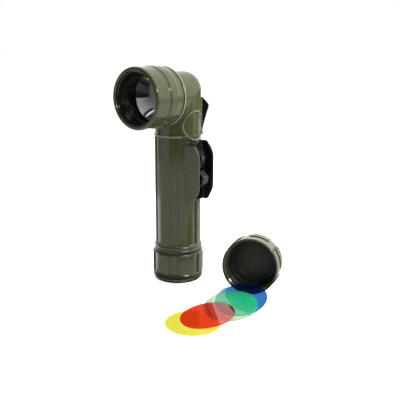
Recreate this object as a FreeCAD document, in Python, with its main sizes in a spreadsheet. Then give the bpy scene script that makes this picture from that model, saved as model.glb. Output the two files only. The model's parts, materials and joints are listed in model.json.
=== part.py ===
import FreeCAD, Part
import math
import os
import re
import Sketcher

# Angle head flashlight for two D cells, with its taken-off filter cap and four colour filters.
# Millimetres. The tube's axis is Z, the lens looks along -Y, the switch faces +X and the
# belt clip is on the back, +Y. The origin is the middle of the flat base, on the tube's axis.

os.makedirs("parts", exist_ok=True)
doc = FreeCAD.newDocument("AngleHeadFlashlight")
sheet = doc.addObject("Spreadsheet::Sheet", "Sizes")

sizes = {
    # D cells, which set the size of everything else
    "cellRadius": 17.1,
    "cellCanLength": 60.0,
    "cellNubRadius": 4.75,
    "cellNubHeight": 1.5,
    "cellClearance": 0.9,
    "cellStackBase": 18.0,
    # battery tube
    "tubeWall": 2.6,
    "tubeTopDrop": 2.6,
    "tubeLandHeight": 0.45,
    "tubeBeadHeight": 0.9,
    "tubeBeadLength": 1.5,
    "tubeFlangeRim": 2.2,
    "tubeFlangeBase": 29.5,
    "tubeFlangeLength": 7.0,
    "tubeSpigotWall": 1.25,
    "tubeSpigotLength": 16.5,
    "tubeSocketDepth": 6.0,
    "tubeSocketWall": 1.4,
    "threadPitch": 2.0,
    "threadDepth": 0.5,
    "fitClearance": 0.05,
    "looseClearance": 0.1,
    # lands that run round the tube and the battery cap
    "landCount": 7,
    "landAngle": 30,
    "landPhase": -33.5,
    # battery cap
    "capGripStep": 0.2,
    "capLandHeight": 1.2,
    "capStubStep": 0.5,
    "capStubLength": 6.8,
    "capTopGap": 0.3,
    "capFloor": 2.6,
    "capLandStart": 8.3,
    "capLandEnd": 27.2,
    "gasketThickness": 1.5,
    "gasketWidth": 2.0,
    # head casing
    "headRise": 34.3,
    "headSetback": 0.4,
    "casingStep": 0.4,
    "casingWall": 4.0,
    "casingCornerRadius": 15.0,
    "headFlangeRim": 5.0,
    "headFlangeThickness": 2.4,
    "headSpigotLength": 7.0,
    "headSpigotWall": 3.0,
    "sideBossRadius": 13.5,
    "sideBossHeight": 0.8,
    "sideBossRise": 8.6,
    # bezel: lens ring and filter ring
    "bezelRim": 5.1,
    "lensRingWall": 2.6,
    "headGasketThickness": 0.8,
    "headGasketWidth": 1.0,
    "lensRingLength": 17.3,
    "ringGrooveDepth": 1.1,
    "ringSpigotStep": 2.4,
    "ringSpigotWall": 2.0,
    "ringSpigotLength": 5.4,
    "lensDepth": 13.3,
    "lensThickness": 1.5,
    "lensSeatWidth": 1.0,
    "lensSeatGap": 0.2,
    "lensGasketThickness": 1.0,
    "lensGasketWidth": 1.1,
    "filterRingRise": 0.4,
    "filterRingLength": 17.3,
    "filterRingTaper": 0.6,
    "filterRingTaperLength": 8.4,
    "filterRingNose": 1.2,
    "filterSeatGap": 0.3,
    "filterSeatDepth": 1.4,
    "lipWidth": 1.5,
    # reflector and bulb
    "reflectorRimStep": 1.8,
    "reflectorDepth": 19.0,
    "reflectorWall": 0.8,
    "reflectorHoleGap": 0.5,
    "reflectorFlange": 0.8,
    "bulbGlobeStep": 0.4,
    "bulbBack": 3.4,
    "bulbBaseRadius": 4.6,
    "bulbBaseRear": 0.6,
    "bulbFlangeRim": 1.6,
    "bulkheadBack": 13.2,
    "bulkheadThickness": 3.0,
    "socketWall": 0.5,
    # electric parts
    "insulatorGap": 0.6,
    "insulatorThickness": 2.0,
    "stripThickness": 0.4,
    "stripWidth": 6.0,
    "contactRadius": 5.0,
    "contactTipRadius": 3.0,
    "springWireRadius": 0.6,
    "springBaseRadius": 12.0,
    "springTopRadius": 6.6,
    "springTurns": 5,
    # switch guard and switch
    "guardHalfWidth": 11.4,
    "guardWall": 1.5,
    "guardTaper": 0.9,
    "guardDepth": 13.2,
    "guardTopDrop": 8.1,
    "guardLength": 51.9,
    "guardSlope": 8.1,
    "seatStep": 0.6,
    "frameWall": 0.8,
    "frameInset": 1.2,
    "frameBaseInset": 1.8,
    "frameTopRise": 2.9,
    "knobHalfWidth": 4.0,
    "knobInset": 0.3,
    "knobBelowButton": 16.8,
    "knobCrestRise": 10.2,
    "knobCrestDrop": 5.4,
    "knobFootHalfWidth": 6.6,
    "knobFootThickness": 1.5,
    "knobTravel": 8.0,
    "stemHalfWidth": 1.5,
    "buttonDrop": 12.3,
    "buttonRadius": 3.0,
    "buttonInset": 2.8,
    "buttonTravel": 2.0,
    "guideInset": 6.2,
    "guideHalfWidth": 5.2,
    # belt clip
    "clipWidth": 20.0,
    "clipThickness": 0.9,
    "clipFootRise": 3.6,
    "clipFoldDrop": 2.8,
    "rivetRadius": 1.6,
    "rivetInset": 6.0,
    "rivetSpacing": 9.0,
    # taken-off filter cap and filters
    "filterOverlap": 0.9,
    "filterThickness": 1.0,
    "filterGap": 0.2,
    "looseCapThreadGap": 0.8,
    "looseCapWall": 1.8,
    "looseCapLedgeWidth": 1.8,
    "looseCapLength": 26.0,
    "looseCapLandHeight": 0.7,
    "looseCapLandCount": 6,
    "looseCapLandAngle": 42,
    "looseCapLandLength": 13.0,
    "looseCapLedge": 15.0,
    "looseCapFloor": 2.4,
    "looseCapLean": 7.0,
    "looseCapHeading": -67.7,
    "looseCapX": 83.43,
    "looseCapY": -1.46,
}
for row, (alias, amount) in enumerate(sizes.items(), start=1):
    sheet.set("A%d" % row, alias)
    sheet.set("B%d" % row, str(amount))
    sheet.setAlias("B%d" % row, alias)
doc.recompute()

# Sizes and places that follow from the ones above. Radii build outwards from the cells,
# heights build up from the cell stack, and the head builds forwards from the casing.
follows = {
    "cellBore": "cellRadius + cellClearance",
    "cellLength": "cellCanLength + cellNubHeight",
    "stackTop": "cellStackBase + 2 * cellLength",
    "tubeSpigot": "cellBore + tubeSpigotWall",
    "capBore": "tubeSpigot + threadDepth + fitClearance",
    "socketRadius": "cellBore + tubeSocketWall",
    "tubeValleyRadius": "cellBore + tubeWall",
    "tubeFlangeRadius": "tubeValleyRadius + tubeFlangeRim",
    "tubeTop": "stackTop - tubeTopDrop",
    "capGripRadius": "tubeFlangeRadius + capGripStep",
    "capStubRadius": "capGripRadius - capStubStep",
    "capTop": "tubeFlangeBase - capTopGap",
    "gasketBase": "tubeFlangeBase - gasketThickness",
    "gasketOuter": "tubeSpigot + threadDepth + gasketWidth",
    "casingRadius": "tubeValleyRadius + casingStep",
    "casingBore": "casingRadius - casingWall",
    "cornerShift": "casingRadius - casingCornerRadius",
    "headHeight": "tubeTop + headRise",
    "headFront": "headSetback - casingRadius",
    "headFlangeRadius": "casingRadius + headFlangeRim",
    "sideBossCentre": "tubeTop + sideBossRise",
    "insulatorBase": "stackTop + insulatorGap",
    "insulatorTop": "insulatorBase + insulatorThickness",
    "lensRingRadius": "casingRadius + bezelRim",
    "headSpigotRadius": "lensRingRadius - lensRingWall",
    "headSpigotBore": "headSpigotRadius - headSpigotWall",
    "headSpigotEnd": "headFront - headSpigotLength",
    "headGasketRadius": "headSpigotRadius + headGasketWidth",
    "lensRingRear": "headFront - headGasketThickness",
    "lensRingFront": "headFront - lensRingLength",
    "ringSpigotRadius": "lensRingRadius - ringSpigotStep",
    "ringSpigotEnd": "lensRingFront - ringSpigotLength",
    "hoodBore": "ringSpigotRadius - ringSpigotWall",
    "lensRadius": "hoodBore + lensSeatWidth",
    "lensSeatRadius": "lensRadius + lensSeatGap",
    "lensFront": "headFront - lensDepth",
    "lensRear": "lensFront + lensThickness + fitClearance",
    "filterRingRadius": "lensRingRadius + filterRingRise",
    "filterRingFront": "lensRingFront - filterRingLength",
    "filterRadius": "hoodBore + filterOverlap",
    "filterSeatRadius": "filterRadius + filterSeatGap",
    "reflectorFront": "lensRear + lensGasketThickness + 2 * fitClearance",
    "reflectorRadius": "lensRadius - reflectorRimStep",
    "bulbGlassRadius": "bulbBaseRadius + bulbGlobeStep",
    "reflectorHole": "bulbGlassRadius + reflectorHoleGap",
    "bulbCentre": "headFront + bulbBack",
    "bulbBaseFront": "bulbCentre + bulbGlassRadius",
    "bulbFlangeRadius": "bulbBaseRadius + bulbFlangeRim",
    "bulkheadFront": "headFront + bulkheadBack",
    "seatReach": "casingRadius + seatStep",
    "clipSeat": "casingRadius + seatStep",
    "clipFoot": "tubeTop + clipFootRise",
    "clipFold": "headHeight - clipFoldDrop",
    "guardReach": "tubeValleyRadius + guardDepth",
    "guardTop": "tubeTop - guardTopDrop",
    "guardBase": "guardTop - guardLength",
    "frameHalf": "guardHalfWidth - guardWall - looseClearance",
    "frameReach": "guardReach - frameInset",
    "frameBase": "guardBase + frameBaseInset",
    "frameTop": "guardTop + frameTopRise",
    "frameFloor": "seatReach + frameWall",
    "railBase": "frameFloor + knobFootThickness + 1.5 * looseClearance",
    "buttonHeight": "guardTop - buttonDrop",
    "buttonReach": "guardReach - buttonInset",
    "guideReach": "guardReach - guideInset",
    "knobReach": "guardReach - knobInset",
    "knobCrest": "buttonHeight - knobBelowButton",
    "knobTop": "knobCrest + knobCrestDrop",
    "knobBottom": "knobCrest - knobCrestRise",
    "looseCapBore": "capStubRadius + looseCapThreadGap",
    "looseCapRadius": "looseCapBore + looseCapWall",
    "looseCapInnerRadius": "looseCapBore - looseCapLedgeWidth",
}

followPattern = re.compile(r"\b(" + "|".join(sorted(follows, key=len, reverse=True)) + r")\b")
aliasPattern = re.compile(r"\b(" + "|".join(sorted(sizes, key=len, reverse=True)) + r")\b")
pieces = []


def spelled(formula):
    """A formula with every size that follows from others written out in the sheet's own names."""
    formula = str(formula)
    while followPattern.search(formula):
        formula = followPattern.sub(lambda found: "(%s)" % follows[found.group(1)], formula)
    return formula


def cells(formula):
    """A formula in size names, written for an expression on another object."""
    return aliasPattern.sub(r"Sizes.\1", spelled(formula))


def number(formula):
    """The value of a formula in size names, read from the sheet."""
    result = aliasPattern.sub(lambda found: repr(float(sheet.get(found.group(1)))), spelled(formula))
    return float(FreeCAD.Units.Quantity(result).Value)


def bind(target, **formulas):
    for prop, formula in formulas.items():
        target.setExpression(prop, cells(formula))


def place(target, x=0, y=0, z=0, axis=None, angle=0):
    """Put an object at formulas x, y, z, turned by an angle about an axis."""
    turn = FreeCAD.Rotation(FreeCAD.Vector(*axis), float(angle)) if axis else FreeCAD.Rotation()
    target.Placement = FreeCAD.Placement(FreeCAD.Vector(), turn)
    for letter, formula in (("x", x), ("y", y), ("z", z)):
        target.setExpression(".Placement.Base." + letter, cells(formula))
    return target


def piece(target, label):
    target.Label = label
    pieces.append(target)
    return target


def originPlane(body, role):
    return [item for item in body.Origin.OriginFeatures if item.Role == role][0]


def outline(body, name, role, corners):
    """A closed sketch of straight runs on one of the body's own planes, each corner bound to the sheet."""
    sketch = body.newObject("Sketcher::SketchObject", name)
    sketch.AttachmentSupport = (originPlane(body, role), [""])
    sketch.MapMode = "FlatFace"
    values = [(number(across), number(along)) for across, along in corners]
    count = len(values)
    for index in range(count):
        start = FreeCAD.Vector(*values[index], 0)
        end = FreeCAD.Vector(*values[(index + 1) % count], 0)
        sketch.addGeometry(Part.LineSegment(start, end), False)
    for index in range(count):
        sketch.addConstraint(Sketcher.Constraint("Coincident", index, 2, (index + 1) % count, 1))
    for index, (across, along) in enumerate(corners):
        sides = (("DistanceX", across), ("DistanceY", along))
        for (kind, formula), value in zip(sides, values[index]):
            where = sketch.addConstraint(Sketcher.Constraint(kind, -1, 1, index, 1, value))
            sketch.setExpression("Constraints[%d]" % where, cells(formula))
    return sketch


latheForms = {"Z": ("XZ_Plane", "V_Axis"), "Y": ("XY_Plane", "V_Axis"), "X": ("XY_Plane", "H_Axis")}


def lathe(name, corners, around="Z"):
    """A turned body. Corners are (radius, along the axis), or (along the axis, radius) around X."""
    body = doc.addObject("PartDesign::Body", name)
    role, axis = latheForms[around]
    sketch = outline(body, name + "Outline", role, corners)
    doc.recompute()
    turned = body.newObject("PartDesign::Revolution", name + "Turned")
    turned.Profile = sketch
    turned.ReferenceAxis = (sketch, [axis])
    turned.Angle = 360
    sketch.Visibility = False
    doc.recompute()
    return body


def headLathe(name, corners):
    """A turned body on the head's axis, which runs along Y at the head's height."""
    return place(lathe(name, corners, "Y"), z="headHeight")


def spreadLands(body, corners, angle, count):
    """Raised lands: a short turned stretch, centred on the sketch's plane and repeated round the axis."""
    sketch = outline(body, body.Name + "LandOutline", "XZ_Plane", corners)
    doc.recompute()
    land = body.newObject("PartDesign::Revolution", body.Name + "Land")
    land.Profile = sketch
    land.ReferenceAxis = (sketch, ["V_Axis"])
    land.Midplane = True
    bind(land, Angle=angle)
    doc.recompute()
    ring = body.newObject("PartDesign::PolarPattern", body.Name + "Lands")
    ring.Originals = [land]
    ring.Axis = (sketch, ["V_Axis"])
    ring.Angle = 360
    bind(ring, Occurrences=count)
    body.Tip = ring
    sketch.Visibility = False
    doc.recompute()
    return body


def threadRings(body, role, radius, start, count, depth="threadDepth"):
    """Thread crests as rings: one V ridge, turned and repeated along the axis by the pitch."""
    corners = [
        ("%s" % radius, "%s" % start),
        ("%s + %s" % (radius, depth), "%s + 0.45 * threadPitch" % start),
        ("%s + %s" % (radius, depth), "%s + 0.55 * threadPitch" % start),
        ("%s" % radius, "%s + threadPitch" % start),
        ("%s - 0.3 * %s" % (radius, depth), "%s + 0.5 * threadPitch" % start),
    ]
    sketch = outline(body, body.Name + "ThreadOutline", role, corners)
    doc.recompute()
    ridge = body.newObject("PartDesign::Revolution", body.Name + "Thread")
    ridge.Profile = sketch
    ridge.ReferenceAxis = (sketch, ["V_Axis"])
    ridge.Angle = 360
    doc.recompute()
    run = body.newObject("PartDesign::LinearPattern", body.Name + "Threads")
    run.Originals = [ridge]
    run.Direction = (sketch, ["V_Axis"])
    run.Occurrences = count
    bind(run, Length="threadPitch * %d" % (count - 1))
    body.Tip = run
    sketch.Visibility = False
    doc.recompute()
    return body


def softenEdges(body, spots, radius, around="Z", kind="Fillet"):
    """Round or chamfer the circular edges of a turned body that pass through the given corners."""
    tip = body.Tip
    names = []
    for across, along in spots:
        across, along = number(across), number(along)
        for index, edge in enumerate(tip.Shape.Edges, start=1):
            if not isinstance(edge.Curve, Part.Circle) or abs(edge.Curve.Radius - across) > 1e-4:
                continue
            centre = edge.Curve.Center
            level = centre.z if around == "Z" else centre.y
            if abs(level - along) < 1e-4:
                names.append("Edge%d" % index)
    soft = body.newObject("PartDesign::" + kind, "%s%s%d" % (body.Name, kind, len(body.Group)))
    soft.Base = (tip, names)
    bind(soft, **{"Radius" if kind == "Fillet" else "Size": radius})
    body.Tip = soft
    doc.recompute()
    return body


def prism(name, role, corners, length, lift=0, rounded=(), radius=1):
    """A padded outline, centred on its plane unless it is lifted. Rounded corners are (across, along)."""
    body = doc.addObject("PartDesign::Body", name)
    sketch = outline(body, name + "Outline", role, corners)
    doc.recompute()
    pad = body.newObject("PartDesign::Pad", name + "Pad")
    pad.Profile = sketch
    if lift == 0:
        pad.Midplane = True
    else:
        sketch.setExpression(".AttachmentOffset.Base.z", cells(lift))
    bind(pad, Length=length)
    sketch.Visibility = False
    doc.recompute()
    if rounded:
        normal = sketch.Placement.Rotation.multVec(FreeCAD.Vector(0, 0, 1))
        names = []
        for across, along in rounded:
            spot = sketch.Placement.multVec(FreeCAD.Vector(number(across), number(along), 0))
            for index, edge in enumerate(pad.Shape.Edges, start=1):
                ends = [vertex.Point - spot for vertex in edge.Vertexes]
                if all(end.cross(normal).Length < 1e-4 for end in ends):
                    names.append("Edge%d" % index)
        soft = body.newObject("PartDesign::Fillet", name + "Fillet")
        soft.Base = (pad, names)
        bind(soft, Radius=radius)
        body.Tip = soft
        doc.recompute()
    return body


def block(name, low, high):
    """A box between two corners given as formulas."""
    shape = doc.addObject("Part::Box", name)
    spans = ["(%s) - (%s)" % (top, bottom) for bottom, top in zip(low, high)]
    bind(shape, Length=spans[0], Width=spans[1], Height=spans[2])
    return place(shape, *low)


def rod(name, radius, length, x=0, y=0, z=0, axis=None, angle=0):
    shape = doc.addObject("Part::Cylinder", name)
    bind(shape, Radius=radius, Height=length)
    return place(shape, x, y, z, axis, angle)


def joined(name, *members):
    shape = doc.addObject("Part::MultiFuse", name)
    shape.Shapes = list(members)
    return shape


def less(name, base, tool):
    shape = doc.addObject("Part::Cut", name)
    shape.Base = base
    shape.Tool = tool
    return shape


def shared(name, first, second):
    shape = doc.addObject("Part::MultiCommon", name)
    shape.Shapes = [first, second]
    return shape


def stripSolid(path, thickness, width, along):
    """A bent strip: a polyline thickened to both sides, mitred at its bends, and extruded to its width."""
    left, right = [], []
    for index, (a, b) in enumerate(path):
        before = path[max(index - 1, 0)]
        after = path[min(index + 1, len(path) - 1)]
        legs = [(a - before[0], b - before[1]), (after[0] - a, after[1] - b)]
        normals = [(-q / math.hypot(p, q), p / math.hypot(p, q)) for p, q in legs if math.hypot(p, q) > 0]
        first, last = normals[0], normals[-1]
        scale = thickness / 2 / (1 + first[0] * last[0] + first[1] * last[1])
        shift = ((first[0] + last[0]) * scale, (first[1] + last[1]) * scale)
        left.append((a + shift[0], b + shift[1]))
        right.append((a - shift[0], b - shift[1]))
    loop = left + right[::-1]
    if along == "X":
        points = [FreeCAD.Vector(-width / 2, a, b) for a, b in loop]
        direction = FreeCAD.Vector(width, 0, 0)
    else:
        points = [FreeCAD.Vector(a, -width / 2, b) for a, b in loop]
        direction = FreeCAD.Vector(0, width, 0)
    return Part.Face(Part.makePolygon(points + points[:1])).extrude(direction)


def strip(name, path, thickness, width, along="X"):
    values = [(number(a), number(b)) for a, b in path]
    shape = doc.addObject("Part::Feature", name)
    shape.Shape = stripSolid(values, number(thickness), number(width), along)
    return shape


# Battery cap: drum with a flat closed base, a threaded stub that takes the filter cap, and a grip with lands
batteryCap = lathe("BatteryCap", [
    ("0", "0"),
    ("capStubRadius - 0.6", "0"),
    ("capStubRadius", "0.6"),
    ("capStubRadius", "capStubLength"),
    ("capGripRadius", "capStubLength + 0.9"),
    ("capGripRadius", "capTop - 0.7"),
    ("capGripRadius - 0.5", "capTop"),
    ("gasketOuter + fitClearance", "capTop"),
    ("gasketOuter + fitClearance", "gasketBase"),
    ("capBore", "gasketBase"),
    ("capBore", "capFloor"),
    ("0", "capFloor"),
])
threadRings(batteryCap, "XZ_Plane", "capStubRadius", "0.7", 3, "threadDepth * 1.2")
spreadLands(batteryCap, [
    ("capGripRadius - 0.5", "capLandStart"),
    ("capGripRadius + capLandHeight - 0.7", "capLandStart"),
    ("capGripRadius + capLandHeight", "capLandStart + 0.7"),
    ("capGripRadius + capLandHeight", "capLandEnd - 0.7"),
    ("capGripRadius + capLandHeight - 0.7", "capLandEnd"),
    ("capGripRadius - 0.5", "capLandEnd"),
], "landAngle", "landCount")
batteryCap.Placement.Rotation = FreeCAD.Rotation(FreeCAD.Vector(0, 0, 1), number("landPhase"))
batteryCap.setExpression(".Placement.Rotation.Angle", cells("landPhase"))
piece(batteryCap, "battery_cap")

# Rubber gasket between the battery cap and the tube's flange
piece(lathe("CapGasket", [
    ("tubeSpigot + threadDepth + fitClearance", "gasketBase"),
    ("gasketOuter", "gasketBase"),
    ("gasketOuter", "tubeFlangeBase"),
    ("tubeSpigot + threadDepth + fitClearance", "tubeFlangeBase"),
]), "cap_gasket")

# Plate and conical spring that press the cells upwards
piece(lathe("SpringPlate", [
    ("0", "capFloor"),
    ("springBaseRadius + 3 * springWireRadius", "capFloor"),
    ("springBaseRadius + 3 * springWireRadius", "capFloor + 1"),
    ("springBaseRadius + 2 * springWireRadius", "capFloor + 1"),
    ("springBaseRadius + 2 * springWireRadius", "capFloor + stripThickness"),
    ("0", "capFloor + stripThickness"),
]), "spring_plate")


def coilSolid(base, top, turns, baseRadius, topRadius, wireRadius):
    """A conical spring: a round wire swept along quarter-turn arcs of one unbroken coil."""
    def spot(turn):
        share = turn / turns
        radius = baseRadius + (topRadius - baseRadius) * share
        angle = 2 * math.pi * turn
        height = base + wireRadius + (top - base - 2 * wireRadius) * share
        return FreeCAD.Vector(radius * math.cos(angle), radius * math.sin(angle), height)
    steps = int(turns * 4)
    arcs = []
    for step in range(steps):
        ends = [spot(turns * (step + part) / steps) for part in (0, 0.5, 1)]
        arcs.append(Part.Arc(*ends).toShape())
    start = arcs[0].valueAt(arcs[0].FirstParameter)
    heading = arcs[0].tangentAt(arcs[0].FirstParameter)
    section = Part.Wire([Part.makeCircle(wireRadius, start, heading)])
    shape = Part.Wire(arcs).makePipeShell([section], True, False)
    gap = (top - base - 2 * wireRadius) / turns - 2 * wireRadius
    print("spring turns lie at least %.2f mm apart along the axis" % gap)
    return shape


batterySpring = doc.addObject("Part::Feature", "BatterySpring")
batterySpring.Shape = coilSolid(
    number("capFloor + stripThickness"),
    number("cellStackBase"),
    number("springTurns"),
    number("springBaseRadius"),
    number("springTopRadius"),
    number("springWireRadius"),
)
piece(batterySpring, "battery_spring")

# Two D cells, one on the other
for order, name in enumerate(("lower", "upper")):
    base = "(cellStackBase + %d * cellLength)" % order
    cell = lathe("Cell" + name.capitalize(), [
        ("0", base),
        ("cellRadius - 0.8", base),
        ("cellRadius", base + " + 0.8"),
        ("cellRadius", base + " + cellCanLength - 0.8"),
        ("cellRadius - 0.8", base + " + cellCanLength"),
        ("cellNubRadius", base + " + cellCanLength"),
        ("cellNubRadius", base + " + cellCanLength + cellNubHeight"),
        ("0", base + " + cellCanLength + cellNubHeight"),
    ])
    piece(cell, "battery_" + name)

# Battery tube: spigot, flange, ribbed barrel, bead, switch seat and the two guard wings
tubeShell = lathe("TubeShell", [
    ("cellBore", "tubeFlangeBase - tubeSpigotLength"),
    ("tubeSpigot", "tubeFlangeBase - tubeSpigotLength"),
    ("tubeSpigot", "tubeFlangeBase"),
    ("tubeFlangeRadius - 0.5", "tubeFlangeBase"),
    ("tubeFlangeRadius", "tubeFlangeBase + 0.6"),
    ("tubeFlangeRadius", "tubeFlangeBase + tubeFlangeLength - 2.2"),
    ("tubeValleyRadius", "tubeFlangeBase + tubeFlangeLength"),
    ("tubeValleyRadius", "tubeTop - tubeBeadLength - 0.8"),
    ("tubeValleyRadius + tubeBeadHeight", "tubeTop - tubeBeadLength"),
    ("tubeValleyRadius + tubeBeadHeight", "tubeTop"),
    ("socketRadius", "tubeTop"),
    ("socketRadius", "tubeTop - tubeSocketDepth"),
    ("cellBore", "tubeTop - tubeSocketDepth"),
])
softenEdges(tubeShell, [("tubeFlangeRadius", "tubeFlangeBase + tubeFlangeLength - 2.2")], "1.6")
softenEdges(tubeShell, [("tubeValleyRadius + tubeBeadHeight", "tubeTop"),
                        ("tubeValleyRadius + tubeBeadHeight", "tubeTop - tubeBeadLength")], "0.5")
threadRings(tubeShell, "XZ_Plane", "tubeSpigot", "tubeFlangeBase - tubeSpigotLength + 1", 5)
spreadLands(tubeShell, [
    ("tubeValleyRadius - 0.4", "tubeFlangeBase + tubeFlangeLength - 1.5"),
    ("tubeValleyRadius + tubeLandHeight", "tubeFlangeBase + tubeFlangeLength - 1.5"),
    ("tubeValleyRadius + tubeLandHeight", "tubeTop - tubeBeadLength"),
    ("tubeValleyRadius - 0.4", "tubeTop - tubeBeadLength"),
], "landAngle - 1.5", "landCount")
tubeShell.Placement.Rotation = FreeCAD.Rotation(FreeCAD.Vector(0, 0, 1), number("landPhase"))
tubeShell.setExpression(".Placement.Rotation.Angle", cells("landPhase"))

wingCorners = [
    ("tubeValleyRadius - 2", "guardBase"),
    ("guardReach - 6.6", "guardBase"),
    ("guardReach", "guardBase + 12"),
    ("guardReach", "guardTop - guardSlope"),
    ("guardReach - 4.7", "guardTop"),
    ("tubeValleyRadius - 2", "guardTop"),
]
wingBlank = prism("WingBlank", "XZ_Plane", wingCorners, "3 * guardHalfWidth",
                  rounded=wingCorners[1:5], radius="2.6")
wingPlan = prism("WingPlan", "XY_Plane", [
    ("tubeValleyRadius - 2", "guardHalfWidth - guardWall"),
    ("guardReach + 1", "guardHalfWidth - guardWall"),
    ("guardReach + 1", "guardHalfWidth - guardTaper"),
    ("tubeValleyRadius - 2", "guardHalfWidth"),
], "guardTop - guardBase + 4", lift="guardBase - 2")
wingNear = shared("WingRight", wingBlank, wingPlan)
wingFar = doc.addObject("Part::Mirroring", "WingLeft")
wingFar.Source = wingNear
wingFar.Normal = FreeCAD.Vector(0, 1, 0)
seatBlank = block("SeatBlank", ("cellBore - 2", "guardWall - guardHalfWidth - 0.5", "guardBase"),
                  ("seatReach", "guardHalfWidth - guardWall + 0.5", "frameTop"))
seatBore = rod("SeatBore", "cellBore", "tubeTop", z="0")
seatSocket = rod("SeatSocket", "socketRadius", "tubeSocketDepth", z="tubeTop - tubeSocketDepth")
switchSeat = less("SwitchSeat", seatBlank, joined("SeatRelief", seatBore, seatSocket))
stemSlot = block("StemSlot",
                 ("cellBore - 3", "-stemHalfWidth - 0.4", "knobCrest - stemHalfWidth - knobTravel - 1"),
                 ("seatReach + 1", "stemHalfWidth + 0.4", "knobCrest + stemHalfWidth + 1"))
bossBlank = rod("BossReliefBlank", "sideBossRadius + fitClearance", "12", x="casingRadius - 4",
                z="sideBossCentre", axis=(0, 1, 0), angle=90)
bossRing = lathe("BossReliefRing", [
    ("casingRadius", "sideBossCentre - sideBossRadius - 2"),
    ("casingRadius + 6", "sideBossCentre - sideBossRadius - 2"),
    ("casingRadius + 6", "sideBossCentre + sideBossRadius + 2"),
    ("casingRadius", "sideBossCentre + sideBossRadius + 2"),
])
bossRelief = shared("BossRelief", bossBlank, bossRing)
tubeSolid = joined("TubeSolid", tubeShell, wingNear, wingFar, switchSeat)
tubeCuts = joined("TubeCuts", stemSlot, bossRelief)
piece(less("BatteryTube", tubeSolid, tubeCuts), "battery_tube")


# Head casing: a mitred elbow whose outer corner is a turned stretch, tangent to both barrels
def elbow(name, radius, base, front):
    upright = rod(name + "Upright", radius, "headHeight + cornerShift - (%s)" % base, z=base)
    level = rod(name + "Level", radius, "cornerShift - (%s)" % front,
                y="cornerShift", z="headHeight", axis=(1, 0, 0), angle=90)
    above = doc.addObject("Part::Box", name + "Above")
    below = doc.addObject("Part::Box", name + "Below")
    for side, drop in ((above, 0), (below, -60)):
        side.Length, side.Width, side.Height = 80, 160, 60
        turn = FreeCAD.Rotation(FreeCAD.Vector(1, 0, 0), 45)
        shift = turn.multVec(FreeCAD.Vector(-40, -80, drop))
        side.Placement = FreeCAD.Placement(shift, turn)
        side.setExpression(".Placement.Base.z", cells("%f + headHeight" % shift.z))
    corner = doc.addObject("PartDesign::Body", name + "Corner")
    sketch = corner.newObject("Sketcher::SketchObject", name + "CornerOutline")
    sketch.AttachmentSupport = (originPlane(corner, "XY_Plane"), [""])
    sketch.MapMode = "FlatFace"
    shift = number("cornerShift")
    reach = math.sqrt(number(radius) ** 2 - shift ** 2)
    tip = FreeCAD.Vector(0, number(radius), 0)
    near = FreeCAD.Vector(reach, shift, 0)
    far = FreeCAD.Vector(-reach, shift, 0)
    sketch.addGeometry(Part.Arc(near, tip, far), False)
    sketch.addGeometry(Part.LineSegment(far, near), False)
    sketch.addConstraint(Sketcher.Constraint("Coincident", 0, 3, -1, 1))
    sketch.addConstraint(Sketcher.Constraint("Coincident", 0, 2, 1, 1))
    sketch.addConstraint(Sketcher.Constraint("Coincident", 0, 1, 1, 2))
    sketch.addConstraint(Sketcher.Constraint("Horizontal", 1))
    where = sketch.addConstraint(Sketcher.Constraint("DistanceY", -1, 1, 1, 1, shift))
    sketch.setExpression("Constraints[%d]" % where, cells("cornerShift"))
    where = sketch.addConstraint(Sketcher.Constraint("Radius", 0, number(radius)))
    sketch.setExpression("Constraints[%d]" % where, cells(radius))
    doc.recompute()
    swept = corner.newObject("PartDesign::Revolution", name + "CornerTurned")
    swept.Profile = sketch
    swept.ReferenceAxis = (sketch, ["Edge2"])
    swept.Angle = 90
    doc.recompute()
    place(corner, z="headHeight + cornerShift")
    if swept.Shape.BoundBox.ZMax < 1:
        swept.Reversed = True
    doc.recompute()
    uprightHalf = less(name + "UprightCut", upright, above)
    levelHalf = less(name + "LevelCut", level, below)
    return joined(name, uprightHalf, levelHalf, corner)


casingOuter = elbow("CasingOuter", "casingRadius", "tubeTop", "headFront + 0.5")
casingInner = elbow("CasingInner", "casingBore", "tubeTop - 1", "headFront - 1")
headRing = headLathe("HeadRing", [
    ("casingBore + 0.6", "headFront + headFlangeThickness + 0.6"),
    ("casingBore + 0.6", "headFront + 0.4"),
    ("headSpigotBore", "headFront - 0.8"),
    ("headSpigotBore", "headSpigotEnd"),
    ("headSpigotRadius - threadDepth", "headSpigotEnd"),
    ("headSpigotRadius - threadDepth", "headFront"),
    ("headFlangeRadius - 0.4", "headFront"),
    ("headFlangeRadius", "headFront + 0.5"),
    ("headFlangeRadius", "headFront + headFlangeThickness - 0.6"),
    ("casingRadius + 1.4", "headFront + headFlangeThickness"),
    ("casingRadius - 0.5", "headFront + headFlangeThickness + 1.4"),
])
threadRings(headRing, "XY_Plane", "(headSpigotRadius - threadDepth)", "headSpigotEnd + 0.6", 3)
clipSeatBlock = block("ClipSeatBlock",
                      ("-clipWidth / 2 - 0.8", "casingBore - 2", "clipFoot - 1"),
                      ("clipWidth / 2 + 0.8", "clipSeat", "clipFold - 1.5"))
casingSkirt = rod("CasingSkirt", "socketRadius - fitClearance", "tubeSocketDepth + 1.5",
                  z="tubeTop - tubeSocketDepth + 0.1")
casingSolid = joined("CasingSolid", casingOuter, clipSeatBlock, casingSkirt)
skirtBore = rod("SkirtBore", "cellBore", "insulatorTop - tubeTop + tubeSocketDepth + 2",
                z="tubeTop - tubeSocketDepth - 2")
bezelRelief = rod("BezelRelief", "lensRingRadius + 0.5", "20", y="headFront", z="headHeight",
                  axis=(1, 0, 0), angle=90)
rivetHoles = []
for order in (0, 1):
    hole = rod("RivetHole%d" % order, "rivetRadius", "8", y="casingBore - 3",
               z="clipFoot + rivetInset + %d * rivetSpacing" % order, axis=(1, 0, 0), angle=-90)
    rivetHoles.append(hole)
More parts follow.
